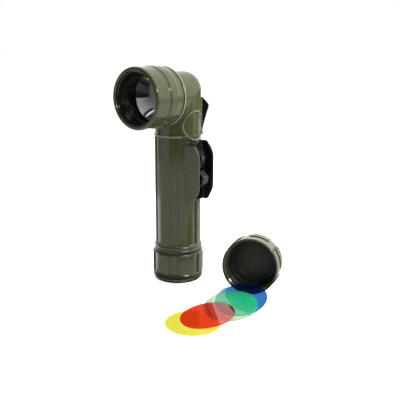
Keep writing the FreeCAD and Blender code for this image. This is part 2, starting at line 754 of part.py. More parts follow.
casingHollow = joined("CasingHollow", casingInner, skirtBore, bossRelief, bezelRelief, *rivetHoles)
piece(joined("HeadCasing", less("CasingShell", casingSolid, casingHollow), headRing), "head_casing")

# Round side boss: a shallow moulded plate wrapped on the barrel over the switch's upper end
bossDisc = rod("BossDisc", "sideBossRadius", "8", x="casingRadius - 3", z="sideBossCentre",
               axis=(0, 1, 0), angle=90)
bossWrap = lathe("BossWrap", [
    ("casingRadius + 0.02", "sideBossCentre - sideBossRadius - 1"),
    ("casingRadius + sideBossHeight", "sideBossCentre - sideBossRadius - 1"),
    ("casingRadius + sideBossHeight", "sideBossCentre + sideBossRadius + 1"),
    ("casingRadius + 0.02", "sideBossCentre + sideBossRadius + 1"),
])
piece(shared("SideBoss", bossDisc, bossWrap), "side_boss")

# Gasket between the head's flange and the lens ring
piece(headLathe("HeadGasket", [
    ("headSpigotRadius + fitClearance", "lensRingRear"),
    ("headGasketRadius", "lensRingRear"),
    ("headGasketRadius", "headFront"),
    ("headSpigotRadius + fitClearance", "headFront"),
]), "head_gasket")

# Lens ring: screws on the head, holds the lens, its gasket and the reflector, and takes the filter ring
lensRing = headLathe("LensRing", [
    ("headSpigotRadius + fitClearance", "lensRingRear"),
    ("lensRingRadius - 0.9", "lensRingRear"),
    ("lensRingRadius", "lensRingRear - 0.9"),
    ("lensRingRadius", "lensRingFront + ringGrooveDepth"),
    ("lensRingRadius - ringGrooveDepth", "lensRingFront"),
    ("ringSpigotRadius - threadDepth", "lensRingFront"),
    ("ringSpigotRadius - threadDepth", "ringSpigotEnd"),
    ("hoodBore", "ringSpigotEnd"),
    ("hoodBore", "lensFront"),
    ("lensSeatRadius", "lensFront"),
    ("lensSeatRadius", "headSpigotEnd - 0.6"),
    ("headSpigotRadius + fitClearance", "headSpigotEnd - 0.6"),
])
softenEdges(lensRing, [("lensRingRadius", "lensRingFront + ringGrooveDepth")], "0.8", "Y")
threadRings(lensRing, "XY_Plane", "(ringSpigotRadius - threadDepth)", "ringSpigotEnd + 0.5", 2)
piece(lensRing, "lens_ring")

# Filter ring: the deep front hood, with a seat for one filter disc and a stepped lip
filterRing = headLathe("FilterRing", [
    ("ringSpigotRadius + fitClearance", "lensRingFront"),
    ("lensRingRadius - ringGrooveDepth", "lensRingFront"),
    ("filterRingRadius", "lensRingFront - ringGrooveDepth - filterRingRise"),
    ("filterRingRadius", "filterRingFront + filterRingTaperLength"),
    ("filterRingRadius - filterRingTaper", "filterRingFront + filterRingNose"),
    ("filterRingRadius - filterRingTaper - filterRingNose", "filterRingFront"),
    ("hoodBore + 2 * lipWidth - 0.9", "filterRingFront"),
    ("hoodBore + lipWidth", "filterRingFront + 0.8"),
    ("hoodBore + lipWidth - 0.5", "filterRingFront + 2.4"),
    ("hoodBore + 0.4", "filterRingFront + 2.6"),
    ("hoodBore", "filterRingFront + 4.4"),
    ("hoodBore", "ringSpigotEnd - filterSeatDepth"),
    ("filterSeatRadius", "ringSpigotEnd - filterSeatDepth"),
    ("filterSeatRadius", "ringSpigotEnd - fitClearance"),
    ("ringSpigotRadius + fitClearance", "ringSpigotEnd - fitClearance"),
])
for across, along, rounding in (
    ("filterRingRadius", "lensRingFront - ringGrooveDepth - filterRingRise", "0.8"),
    ("filterRingRadius - filterRingTaper", "filterRingFront + filterRingNose", "2"),
    ("filterRingRadius - filterRingTaper - filterRingNose", "filterRingFront", "0.8"),
):
    softenEdges(filterRing, [(across, along)], rounding, "Y")
piece(filterRing, "filter_ring")

# Thin rubber seal that lies in the filter seat
piece(headLathe("FilterSeal", [
    ("hoodBore + 0.1", "ringSpigotEnd - filterSeatDepth + 0.02"),
    ("filterSeatRadius - 0.1", "ringSpigotEnd - filterSeatDepth + 0.02"),
    ("filterSeatRadius - 0.1", "ringSpigotEnd - 0.06"),
    ("hoodBore + 0.1", "ringSpigotEnd - 0.06"),
]), "filter_seal")

# Clear lens, its gasket, and the reflector behind them
piece(headLathe("ClearLens", [
    ("0", "lensFront + 0.02"),
    ("lensRadius", "lensFront + 0.02"),
    ("lensRadius", "lensFront + lensThickness"),
    ("0", "lensFront + lensThickness"),
]), "clear_lens")
piece(headLathe("LensGasket", [
    ("lensRadius - lensGasketWidth", "lensRear"),
    ("lensRadius", "lensRear"),
    ("lensRadius", "lensRear + lensGasketThickness"),
    ("lensRadius - lensGasketWidth", "lensRear + lensGasketThickness"),
]), "lens_gasket")


def reflectorSolid():
    """A parabolic bowl with a rolled flange in front and a short neck round the bulb's hole."""
    front = number("reflectorFront")
    depth = number("reflectorDepth")
    rim = number("reflectorRadius")
    hole = number("reflectorHole")
    wall = number("reflectorWall")
    flange = number("lensRadius - 0.1")
    lip = number("reflectorFlange")
    points = 7
    inner, outer = [], []
    for index in range(points):
        radius = hole + (rim - hole) * index / (points - 1)
        slope = 2 * depth * radius / rim ** 2
        along = front + depth * (1 - (radius / rim) ** 2)
        tilt = math.hypot(1, slope)
        inner.append(FreeCAD.Vector(radius, along, 0))
        outer.append(FreeCAD.Vector(radius + wall * slope / tilt, along + wall / tilt, 0))
    outer[-1] = FreeCAD.Vector(outer[-1].x, front + lip, 0)
    curves = []
    for spots in (inner, outer):
        curve = Part.BSplineCurve()
        curve.interpolate(spots)
        curves.append(curve.toShape())
    rimFront = FreeCAD.Vector(flange, front, 0)
    rimBack = FreeCAD.Vector(flange, front + lip, 0)
    corners = [inner[-1], rimFront, rimBack, outer[-1]]
    rimEdges = [Part.makeLine(a, b) for a, b in zip(corners, corners[1:])]
    edges = [curves[0]] + rimEdges + [curves[1], Part.makeLine(outer[0], inner[0])]
    face = Part.Face(Part.Wire(Part.__sortEdges__(edges)))
    solid = face.revolve(FreeCAD.Vector(), FreeCAD.Vector(0, 1, 0), 360)
    solid = Part.makeSolid(Part.Shell(solid.Faces)) if solid.ShapeType != "Solid" else solid
    if solid.Volume < 0:
        solid.reverse()
    return solid


reflector = doc.addObject("Part::Feature", "Reflector")
reflector.Shape = reflectorSolid()
reflector.Placement = FreeCAD.Placement(FreeCAD.Vector(0, 0, number("headHeight")), FreeCAD.Rotation())
piece(reflector, "reflector")

# Bulb: glass globe on a flanged metal base, in a socket held by a black bulkhead
globe = doc.addObject("Part::Sphere", "BulbGlobe")
bind(globe, Radius="bulbGlassRadius")
place(globe, y="bulbCentre", z="headHeight")
bulbNeck = rod("BulbNeck", "bulbBaseRadius - 0.5", "bulbGlassRadius", y="bulbBaseFront",
               z="headHeight", axis=(1, 0, 0), angle=90)
piece(joined("BulbGlass", globe, bulbNeck), "bulb_glass")
piece(headLathe("BulbBase", [
    ("0", "bulbBaseFront"),
    ("bulbBaseRadius", "bulbBaseFront"),
    ("bulbBaseRadius", "bulkheadFront - 1.2"),
    ("bulbFlangeRadius", "bulkheadFront - 1.2"),
    ("bulbFlangeRadius", "bulkheadFront - 0.6"),
    ("bulbBaseRadius", "bulkheadFront - 0.6"),
    ("bulbBaseRadius", "bulbBaseRear - 1"),
    ("1.8", "bulbBaseRear - 0.4"),
    ("1.2", "bulbBaseRear"),
    ("0", "bulbBaseRear"),
]), "bulb_base")
piece(headLathe("BulbSocket", [
    ("bulbBaseRadius + fitClearance", "bulkheadFront - 0.5"),
    ("bulbFlangeRadius + 0.6", "bulkheadFront - 0.5"),
    ("bulbFlangeRadius + 0.6", "bulkheadFront"),
    ("bulbBaseRadius + socketWall", "bulkheadFront"),
    ("bulbBaseRadius + socketWall", "bulbBaseRear - 1"),
    ("bulbBaseRadius + fitClearance", "bulbBaseRear - 1"),
]), "bulb_socket")
piece(headLathe("BulbBulkhead", [
    ("bulbBaseRadius + socketWall + fitClearance", "bulkheadFront"),
    ("casingBore - fitClearance", "bulkheadFront"),
    ("casingBore - fitClearance", "bulkheadFront + bulkheadThickness"),
    ("bulbBaseRadius + socketWall + fitClearance", "bulkheadFront + bulkheadThickness"),
]), "bulb_bulkhead")

# Insulator and contacts above the cells
insulatorBlank = lathe("InsulatorBlank", [
    ("contactTipRadius + 0.4", "insulatorBase"),
    ("cellBore - fitClearance", "insulatorBase"),
    ("cellBore - fitClearance", "insulatorTop"),
    ("contactTipRadius + 0.4", "insulatorTop"),
])
strapSlot = block("StrapSlot", ("cellBore - 2", "-stripWidth * 0.3 - 0.3", "insulatorBase - 1"),
                  ("cellBore + 0.3", "stripWidth * 0.3 + 0.3", "insulatorTop + 1"))
piece(less("ContactInsulator", insulatorBlank, strapSlot), "contact_insulator")
piece(lathe("TopContact", [
    ("0", "stackTop"),
    ("contactTipRadius - 0.8", "stackTop"),
    ("contactTipRadius", "stackTop + 0.8"),
    ("contactTipRadius", "insulatorTop"),
    ("contactRadius", "insulatorTop"),
    ("contactRadius", "insulatorTop + stripThickness"),
    ("0", "insulatorTop + stripThickness"),
]), "top_contact")
piece(strip("LampContactStrip", [
    ("-contactTipRadius", "insulatorTop + 1.5 * stripThickness"),
    ("bulbBaseRear + 4", "insulatorTop + 1.5 * stripThickness"),
    ("bulbBaseRear + stripThickness / 2", "headHeight - 8"),
    ("bulbBaseRear + stripThickness / 2", "headHeight + 4"),
], "stripThickness", "stripWidth"), "lamp_contact_strip")
piece(strip("SwitchContactStrip", [
    ("cellBore - 0.5", "knobCrest - knobTravel - 8"),
    ("cellBore - 0.5", "insulatorBase - 1.2"),
    ("casingBore - 0.5", "insulatorTop - 0.6"),
    ("casingBore - 0.5", "headHeight - 14"),
    ("bulbBaseRadius + 4.4", "headHeight - 6"),
    ("bulbBaseRadius + socketWall + 0.3", "headHeight - 2.5"),
    ("bulbBaseRadius + socketWall + 0.3", "headHeight + 1.5"),
], "stripThickness * 0.75", "stripWidth * 0.6", "Y"), "switch_contact_strip")

# Switch frame: black channel between the wings, with rails that keep the slider down
cheekCorners = [
    ("seatReach", "frameBase"),
    ("frameReach - 5.4", "frameBase"),
    ("frameReach", "frameBase + 10"),
    ("frameReach", "guardTop - guardSlope + 0.4"),
    ("guardReach - 5.4", "guardTop + 0.6"),
    ("seatReach + 5.2", "frameTop"),
    ("seatReach", "frameTop"),
]
cheekBlank = prism("CheekBlank", "XZ_Plane", cheekCorners, "2 * frameHalf")
channelCore = block("ChannelCore",
                    ("frameFloor", "frameWall - frameHalf", "frameBase - 3"),
                    ("guardReach + 3", "frameHalf - frameWall", "frameTop + 3"))
railNear = block("RailNear", ("railBase", "knobFootHalfWidth - 1.4", "frameBase + 1"),
                 ("railBase + frameWall", "frameHalf", "buttonHeight - guideHalfWidth - 0.6"))
railFar = block("RailFar", ("railBase", "-frameHalf", "frameBase + 1"),
                ("railBase + frameWall", "1.4 - knobFootHalfWidth", "buttonHeight - guideHalfWidth - 0.6"))
endWall = block("EndWall", ("seatReach", "-frameHalf", "frameBase"),
                ("seatReach + 4.5", "frameHalf", "frameBase + frameWall"))
frameSlot = block("FrameSlot",
                  ("seatReach - 1", "-stemHalfWidth - 0.4", "knobCrest - stemHalfWidth - knobTravel - 1"),
                  ("frameFloor + 0.2", "stemHalfWidth + 0.4", "knobCrest + stemHalfWidth + 1"))
frameScrewHeights = ("frameBase + 4", "frameTop - 2.1")
screwHoles = []
for order, height in enumerate(frameScrewHeights):
    hole = rod("FrameScrewHole%d" % order, "1.05", "6", x="seatReach - 0.5", z=height,
               axis=(0, 1, 0), angle=90)
    screwHoles.append(hole)
channel = joined("Channel", less("Cheeks", cheekBlank, channelCore), railNear, railFar, endWall)
piece(less("SwitchFrame", channel, joined("FrameCuts", frameSlot, *screwHoles)), "switch_frame")

# Screws that hold the frame to its seat
frameScrews = []
for order, height in enumerate(frameScrewHeights):
    screw = lathe("FrameScrew%d" % order, [
        ("frameFloor - 0.8", "0"),
        ("frameFloor + 0.1", "0"),
        ("frameFloor + 0.1", "0.3"),
        ("frameFloor + 1.1", "0.3"),
        ("frameFloor + 1.1", "1.3"),
        ("frameFloor + 0.6", "1.9"),
        ("frameFloor", "1.9"),
        ("frameFloor", "1"),
        ("frameFloor - 0.8", "1"),
    ], "X")
    frameScrews.append(place(screw, z=height))
screwPair = doc.addObject("Part::Compound", "FrameScrews")
screwPair.Links = frameScrews
piece(screwPair, "frame_screws")

# Slider: a wedge-shaped thumb knob on a foot that runs under the rails
knobWedge = prism("KnobWedge", "XZ_Plane", [
    ("frameFloor + knobFootThickness", "knobBottom"),
    ("knobReach - 6.6", "knobBottom"),
    ("knobReach - 1.6", "knobBottom + 4.4"),
    ("knobReach", "knobCrest"),
    ("knobReach - 6.2", "knobTop"),
    ("frameFloor + knobFootThickness", "knobTop"),
], "2 * knobHalfWidth", rounded=[("knobReach", "knobCrest"), ("knobReach - 1.6", "knobBottom + 4.4")],
    radius="0.9")
knobFoot = block("KnobFoot", ("frameFloor + 0.05", "-knobFootHalfWidth", "knobBottom + 4.5"),
                 ("frameFloor + knobFootThickness", "knobFootHalfWidth", "knobTop"))
knobRidges = []
for order in range(3):
    groove = block("KnobGroove%d" % order,
                   ("knobReach - 0.9 - %f" % (1.35 * order), "-knobHalfWidth - 1",
                    "knobCrest + 1.2 + %f" % (1.2 * order)),
                   ("knobReach + 2", "knobHalfWidth + 1", "knobCrest + 1.8 + %f" % (1.2 * order)))
    knobRidges.append(groove)
knobSolid = joined("KnobSolid", knobWedge, knobFoot)
piece(less("SwitchSlider", knobSolid, joined("KnobGrooves", *knobRidges)), "switch_slider")
sliderStem = block("SliderStem",
                   ("cellBore - 0.2", "-stemHalfWidth", "knobCrest - stemHalfWidth"),
                   ("frameFloor + 0.05", "stemHalfWidth", "knobCrest + stemHalfWidth"))
piece(sliderStem, "slider_contact")

# Signal button, its guide block and its return spring
guide = block("GuideBlock",
              ("frameFloor", "-guideHalfWidth", "buttonHeight - guideHalfWidth"),
              ("guideReach", "guideHalfWidth", "buttonHeight + guideHalfWidth"))
guideBore = rod("GuideBore", "buttonRadius + looseClearance", "12", x="seatReach", z="buttonHeight",
                axis=(0, 1, 0), angle=90)
guideWell = rod("GuideWell", "buttonRadius + 1", "guideReach - 1.2 - seatReach", x="seatReach",
                z="buttonHeight", axis=(0, 1, 0), angle=90)
guideHollow = joined("GuideHollow", guideBore, guideWell)
bridge = block("GuideBridge",
               ("frameFloor", "-guideHalfWidth - 1.6", "buttonHeight + guideHalfWidth"),
               ("guideReach - 1.6", "guideHalfWidth + 1.6", "buttonHeight + guideHalfWidth + 2.6"))
sill = block("GuideSill",
             ("frameFloor", "-guideHalfWidth + 1", "buttonHeight - guideHalfWidth - 4"),
             ("guideReach - 1.2", "guideHalfWidth - 1", "buttonHeight - guideHalfWidth"))
guideSolid = joined("GuideSolid", guide, bridge, sill)
piece(less("ButtonGuide", guideSolid, guideHollow), "button_guide")
button = lathe("SignalButton", [
    ("guideReach - 2.4 - buttonTravel * 0.3", "0"),
    ("buttonReach", "0"),
    ("buttonReach - 0.5", "buttonRadius - 0.9"),
    ("buttonReach - 1.4", "buttonRadius"),
    ("guideReach - 1.3", "buttonRadius"),
    ("guideReach - 1.3", "buttonRadius + 0.8"),
    ("guideReach - 2.4", "buttonRadius + 0.8"),
    ("guideReach - 2.4", "buttonRadius - 0.6"),
    ("guideReach - 2.4 - buttonTravel * 0.3", "buttonRadius - 0.6"),
], "X")
piece(place(button, z="buttonHeight"), "signal_button")
buttonSpring = lathe("ButtonSpring", [
    ("frameFloor + 0.02", "buttonRadius - 0.3"),
    ("guideReach - 2.45", "buttonRadius - 0.3"),
    ("guideReach - 2.45", "buttonRadius + 0.5"),
    ("frameFloor + 0.02", "buttonRadius + 0.5"),
], "X")
piece(place(buttonSpring, z="buttonHeight"), "button_spring")


# Small bent wire ring at the top of the switch frame
def wireRing():
    wire = 0.45
    bend = 1.9
    height = number("guardTop") - bend
    middle = FreeCAD.Vector(number("seatReach") + 4.6, 0, height)
    start = FreeCAD.Vector(number("frameFloor") + 0.02, 0, height)
    ring = Part.makeTorus(bend, wire, middle, FreeCAD.Vector(0, 1, 0))
    foot = Part.makeCylinder(wire, 2.0, start, FreeCAD.Vector(1, 0, 0))
    return ring.fuse(foot)


lanyardRing = doc.addObject("Part::Feature", "LanyardRing")
lanyardRing.Shape = wireRing()
piece(lanyardRing, "frame_ring")

# Belt clip: one bent strip of spring steel, riveted to a flat seat on the back of the casing
clipPath = [
    ("clipSeat + clipThickness / 2", "clipFoot"),
    ("clipSeat + clipThickness / 2", "clipFold - 0.9"),
    ("clipSeat + 1.0", "clipFold"),
    ("clipSeat + 2.0", "clipFold - 0.3"),
    ("clipSeat + 10.6", "clipFold - 6.8"),
    ("clipSeat + 11.2", "clipFold - 8.2"),
    ("clipSeat + 10.9", "clipFold - 9.8"),
    ("clipSeat + 6.0", "clipFold - 18.8"),
    ("clipSeat + 2.2", "clipFold - 28.8"),
    ("clipSeat + 1.7", "clipFold - 30.6"),
    ("clipSeat + 2.0", "clipFold - 32.4"),
    ("clipSeat + 3.2", "clipFold - 34.6"),
]
clipStrip = strip("ClipStrip", clipPath, "clipThickness", "clipWidth")
clipHoles = []
for order in (0, 1):
    hole = rod("ClipHole%d" % order, "rivetRadius", "4", y="clipSeat - 1",
               z="clipFoot + rivetInset + %d * rivetSpacing" % order, axis=(1, 0, 0), angle=-90)
    clipHoles.append(hole)
piece(less("BeltClip", clipStrip, joined("ClipHoles", *clipHoles)), "belt_clip")
clipRivets = []
for order in (0, 1):
    rivet = lathe("ClipRivet%d" % order, [
        ("0", "casingBore + 0.4"),
        ("rivetRadius - 0.02", "casingBore + 0.4"),
        ("rivetRadius - 0.02", "clipSeat + clipThickness"),
        ("rivetRadius + 1.2", "clipSeat + clipThickness"),
        ("rivetRadius + 0.8", "clipSeat + clipThickness + 0.7"),
        ("rivetRadius - 0.3", "clipSeat + clipThickness + 1.1"),
        ("0", "clipSeat + clipThickness + 1.1"),
    ], "Y")
    clipRivets.append(place(rivet, z="clipFoot + rivetInset + %d * rivetSpacing" % order))
rivetPair = doc.addObject("Part::Compound", "ClipRivets")
rivetPair.Links = clipRivets
piece(rivetPair, "clip_rivets")

# Filter cap, taken off and lying on its lands with its mouth tilted up towards the viewer
looseCap = lathe("FilterCap", [
    ("0", "0"),
    ("looseCapRadius - 1.4", "0"),
    ("looseCapRadius - 0.2", "1.2"),
    ("looseCapRadius", "looseCapLength - 0.8"),
    ("looseCapRadius - 0.7", "looseCapLength"),
    ("looseCapBore + 0.3", "looseCapLength"),
    ("looseCapBore", "looseCapLength - 0.6"),
    ("looseCapBore", "looseCapLedge"),
    ("looseCapInnerRadius + 0.4", "looseCapLedge"),
    ("looseCapInnerRadius", "looseCapLedge - 0.4"),
    ("looseCapInnerRadius", "looseCapFloor"),
    ("0", "looseCapFloor"),
])
threadRings(looseCap, "XZ_Plane", "looseCapBore", "looseCapLength - 8.4", 3, "-threadDepth * 1.2")
capLandRise = 1.9
spreadLands(looseCap, [
    ("looseCapRadius - 1", "1.2"),
    ("looseCapRadius + looseCapLandHeight - 0.5", "1.2"),
    ("looseCapRadius + looseCapLandHeight", capLandRise),
    ("looseCapRadius + looseCapLandHeight", "looseCapLandLength - 0.6"),
    ("looseCapRadius + looseCapLandHeight - 0.5", "looseCapLandLength"),
    ("looseCapRadius - 1", "looseCapLandLength"),
], "looseCapLandAngle", "looseCapLandCount")
lean = math.radians(number("looseCapLean"))
heading = math.radians(number("looseCapHeading"))
capTurn = FreeCAD.Rotation(FreeCAD.Vector(0, 0, 1), number("looseCapHeading")).multiply(
    FreeCAD.Rotation(FreeCAD.Vector(0, 1, 0), 90 - number("looseCapLean")))
capRest = number("looseCapRadius + looseCapLandHeight") * math.cos(lean) - capLandRise * math.sin(lean)
capReach = number("looseCapLength") * math.cos(lean)
capBack = FreeCAD.Vector(number("looseCapX") - capReach * math.cos(heading),
                         number("looseCapY") - capReach * math.sin(heading), capRest)
looseCap.Placement = FreeCAD.Placement(capBack, capTurn)
piece(looseCap, "filter_cap")

# Four colour filters, fanned out of the cap and leaning on one another. Each has the x and y of its
# middle, its tilt in degrees, and the direction that its upper face leans to.
filterPlaces = {
    "filter_blue": (89.55, -22.15, 16.1, -90.0),
    "filter_yellow": (78.2, -72.9, 0.0, -90.0),
    "filter_green": (89.16, -36.70, 10.87, -90.0),
    "filter_red": (84.66, -62.44, 9.27, -136.0),
}
restSteps = 12
restSpan = 12.0
laid = [looseCap]


def isClear(disc):
    """Whether a disc lies at least the small gap above everything that was laid before it."""
    for other in laid:
        if disc.Shape.BoundBox.intersect(other.Shape.BoundBox):
            if disc.Shape.distToShape(other.Shape)[0] < number("filterGap"):
                return False
    return True


for label, (x, y, tilt, leaning) in filterPlaces.items():
    name = "".join(word.capitalize() for word in label.split("_"))
    disc = lathe(name, [
        ("0", "-filterThickness / 2"),
        ("filterRadius - 0.15", "-filterThickness / 2"),
        ("filterRadius", "0.15 - filterThickness / 2"),
        ("filterRadius", "filterThickness / 2 - 0.15"),
        ("filterRadius - 0.15", "filterThickness / 2"),
        ("0", "filterThickness / 2"),
    ])
    across = FreeCAD.Vector(-math.sin(math.radians(leaning)), math.cos(math.radians(leaning)), 0)
    turn = FreeCAD.Rotation(across, tilt)
    # The disc comes down on what was laid before it and stops a small gap above it, or on the ground
    ground = number("filterRadius") * math.sin(math.radians(tilt)) \
        + number("filterThickness") / 2 * math.cos(math.radians(tilt))
    disc.Placement = FreeCAD.Placement(FreeCAD.Vector(x, y, ground), turn)
    if not isClear(disc):
        low, high = ground, ground + restSpan
        for step in range(restSteps):
            middle = (low + high) / 2
            disc.Placement = FreeCAD.Placement(FreeCAD.Vector(x, y, middle), turn)
            low, high = (low, middle) if isClear(disc) else (middle, high)
        disc.Placement = FreeCAD.Placement(FreeCAD.Vector(x, y, high), turn)
    laid.append(disc)
    piece(disc, label)

doc.recompute()

faults = []
for item in doc.Objects:
    if "Invalid" in item.State or "Error" in item.State:
        faults.append("%s (%s): %s" % (item.Name, item.Label, item.State))
for item in pieces:
    if item.Shape.isNull() or not item.Shape.isValid():
        faults.append("%s has no valid shape" % item.Label)
if faults:
    raise SystemExit("The model has faults:\n" + "\n".join(faults))

for item in pieces:
    item.Shape.exportStep("parts/%s.step" % item.Label)
    box = item.Shape.BoundBox
    print("%-22s solids %d volume %9.1f box %s" % (
        item.Label, len(item.Shape.Solids), item.Shape.Volume,
        " ".join("%.2f" % value for value in (box.XMin, box.YMin, box.ZMin, box.XMax, box.YMax, box.ZMax))))
print("%d nodes" % len(pieces))
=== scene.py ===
import bpy
import bmesh
import json
import math
from mathutils import Matrix, Vector


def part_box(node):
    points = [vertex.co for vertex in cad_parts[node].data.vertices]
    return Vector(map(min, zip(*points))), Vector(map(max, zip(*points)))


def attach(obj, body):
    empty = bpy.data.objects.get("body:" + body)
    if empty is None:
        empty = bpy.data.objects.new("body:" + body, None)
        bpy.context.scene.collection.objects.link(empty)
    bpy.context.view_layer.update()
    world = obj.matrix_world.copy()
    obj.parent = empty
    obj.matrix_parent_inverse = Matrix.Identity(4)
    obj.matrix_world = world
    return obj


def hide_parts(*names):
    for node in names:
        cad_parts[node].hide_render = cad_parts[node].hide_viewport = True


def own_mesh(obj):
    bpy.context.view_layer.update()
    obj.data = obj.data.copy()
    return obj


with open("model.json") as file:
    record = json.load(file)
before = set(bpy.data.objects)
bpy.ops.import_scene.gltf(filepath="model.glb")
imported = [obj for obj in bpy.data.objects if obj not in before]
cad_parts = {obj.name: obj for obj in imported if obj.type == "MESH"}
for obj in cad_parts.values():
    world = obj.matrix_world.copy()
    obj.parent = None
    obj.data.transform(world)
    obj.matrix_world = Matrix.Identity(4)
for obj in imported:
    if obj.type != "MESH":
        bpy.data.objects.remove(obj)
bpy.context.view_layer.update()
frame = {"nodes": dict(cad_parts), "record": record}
nodes = frame["nodes"]
scene = bpy.context.scene
scene.view_settings.view_transform = "Standard"
print("frame loaded with", len(nodes), "nodes")

# Camera, at the photograph's viewing angle

photoCamera = {
    "azimuth": 40.74,       # degrees round the tube from straight in front of the lens
    "distance": 0.5676,     # metres from the tube's axis
    "height": 0.2216,
    "pitch": 14.48,         # degrees down
    "pan": -2.09,
    "roll": 0.31,
    "focalPixels": 624.0,   # focal length in pixels of a 400 pixel frame
    "framePixels": 400.0,
    "sensor": 36.0,
    "nearest": 0.01,
}


def turn(degrees, axis):
    return Matrix.Rotation(math.radians(degrees), 4, axis)


def addObject(name, data):
    made = bpy.data.objects.new(name, data)
    scene.collection.objects.link(made)
    return made


def addCamera(settings):
    data = bpy.data.cameras.new("photoCamera")
    data.sensor_width = settings["sensor"]
    data.lens = settings["focalPixels"] / settings["framePixels"] * settings["sensor"]
    data.clip_start = settings["nearest"]
    place = turn(settings["azimuth"], "Z") @ Vector((0, -settings["distance"], settings["height"]))
    aim = turn(settings["azimuth"] + settings["pan"], "Z") @ turn(90 - settings["pitch"], "X")
    scene.camera = addObject("photoCamera", data)
    scene.camera.matrix_world = Matrix.Translation(place) @ aim @ turn(settings["roll"], "Z")


addCamera(photoCamera)
print("camera set")

# Node trees


def plug(tree, socket, value):
    if isinstance(value, bpy.types.NodeSocket):
        tree.links.new(value, socket)
    else:
        socket.default_value = value


def fill(tree, node, **inputs):
    # Inputs are set or linked by name, with _ for a space, or by place as i0, i1
    for name, value in inputs.items():
        plug(tree, node.inputs[int(name[1:]) if name[1:].isdigit() else name.replace("_", " ")], value)


def addNode(tree, kind, settings=None, **inputs):
    node = tree.nodes.new("ShaderNode" + kind)
    for name, value in (settings or {}).items():
        setattr(node, name, value)
    fill(tree, node, **inputs)
    return node


def maths(tree, operation, *values):
    node = addNode(tree, "Math", {"operation": operation})
    for socket, value in zip(node.inputs, values):
        plug(tree, socket, value)
    return node.outputs[0]


def times(tree, first, second):
    return maths(tree, "MULTIPLY", first, second)


def highest(tree, value, *others):
    for other in others:
        value = maths(tree, "MAXIMUM", value, other)
    return value


def oneMinus(tree, value):
    return maths(tree, "SUBTRACT", 1.0, value)


def smooth(tree, value, low, high, start=0.0, end=1.0):
    return addNode(tree, "MapRange", {"interpolation_type": "SMOOTHSTEP"}, Value=value, From_Min=low,
                   From_Max=high, To_Min=start, To_Max=end).outputs[0]


def softStep(tree, value, edge, soft, start=0.0, end=1.0):
    return smooth(tree, value, edge - soft, edge + soft, start, end)


def noise(tree, vector, scale, detail, rough=0.5):
    node = addNode(tree, "TexNoise", Vector=vector, Scale=scale, Detail=detail, Roughness=rough)
    return node.outputs["Fac"]


def mixColour(tree, share, first, second):
    node = addNode(tree, "Mix", {"data_type": "RGBA"}, i0=share)
    for place, value in ((6, first), (7, second)):
        plug(tree, node.inputs[place], (*value, 1) if isinstance(value, tuple) else value)
    return node.outputs[2]


def mixShader(tree, share, first, second):
    return addNode(tree, "MixShader", i0=share, i1=first, i2=second).outputs[0]


def lightShader(tree, kind, strength, colour=(1, 1, 1, 1)):
    return addNode(tree, kind, Color=colour, Strength=strength).outputs[0]


def emptyTree(owner):
    owner.use_nodes = True
    owner.node_tree.nodes.clear()
    return owner.node_tree


def newGroup(name, outputs, vector=True, **inputs):
    group = bpy.data.node_groups.new(name, "ShaderNodeTree")
    if vector:
        group.interface.new_socket("Vector", in_out="INPUT", socket_type="NodeSocketVector")
    for title, value in inputs.items():
        socket = group.interface.new_socket(title, in_out="INPUT", socket_type="NodeSocketFloat")
        socket.default_value = value
    for title in outputs:
        group.interface.new_socket(title, in_out="OUTPUT", socket_type="NodeSocketFloat")
    return group, group.nodes.new("NodeGroupInput").outputs, group.nodes.new("NodeGroupOutput").inputs


def useGroup(tree, group, **inputs):
    return addNode(tree, "Group", {"node_tree": group}, **inputs).outputs


# Floor, world and studio. Gloss and glass see a tent with panels and gaps, everything else sees plain white

studio = {
    "floorSize": 12.0,
    "floorColour": (0.86, 0.86, 0.86, 1),
    "floorGlow": 0.2,
    "floorBackGlow": 0.36,          # added only where the camera looks straight at the floor
    "floorDrop": 0.0002,            # below the object, so that no faces meet
    "worldStrength": 0.95,
    "plainColour": (0.86, 1.0, 0.84, 1),
    # degrees from +Y towards +X: middle, half width, top, share of the light taken away, softness
    "frontShade": (165.0, 62.0, 46.0, 0.7, 14.0),
    "frontCeiling": (170.0, 60.0, 64.0, 0.88, 3.0),
    "paperReach": (0.62, 0.03),     # how far the white paper goes in metres, and its soft edge
    "paperTone": 0.92,
    "gapTone": 0.03,
    "ceilingStart": (32.0, 2.0),    # degrees above the horizon, and its soft edge
    "ceilingTone": 0.95,
    "backdrop": (-14.0, 94.0, 1.3),    # middle, half width, tone
    # middle, half width, low and high edge, tone
    "panels": [(-80.0, 26.0, -8.0, 34.0, 1.25), (62.0, 22.0, -8.0, 34.0, 0.6),
               (96.0, 16.0, -8.0, 30.0, 0.95)],
    # more mirrored brightness of the paper to the left: middle, half width, softness, reach in metres, tone
    "leftPaper": [(-58.0, 26.0, 12.0, 20.0, 0.9), (-84.0, 40.0, 6.0, 0.33, 1.3)],
    # white paper further out: middle, half width, start and end in metres, tone
    "farPaper": [(-44.0, 64.0, 0.0, 1.25, 1.0), (206.0, 26.0, 0.0, 20.0, 0.7),
                 (100.0, 24.0, 1.35, 20.0, 1.1), (50.0, 12.0, 0.0, 20.0, 0.6)],
    "farSoft": 0.05,
    "leftSoft": 0.04,
}
studioLamps = {
    "sideLamp": {"place": (0.76, -0.18, 0.56), "aim": (0.0, -0.01, 0.1), "power": 4.4, "wide": 0.42,
                 "tall": 0.13, "mirrored": True},
    "backLamp": {"place": (0.3, 0.38, 0.56), "aim": (0.0, -0.01, 0.15), "power": 18.0, "wide": 0.24,
                 "tall": 0.24, "mirrored": False},
}


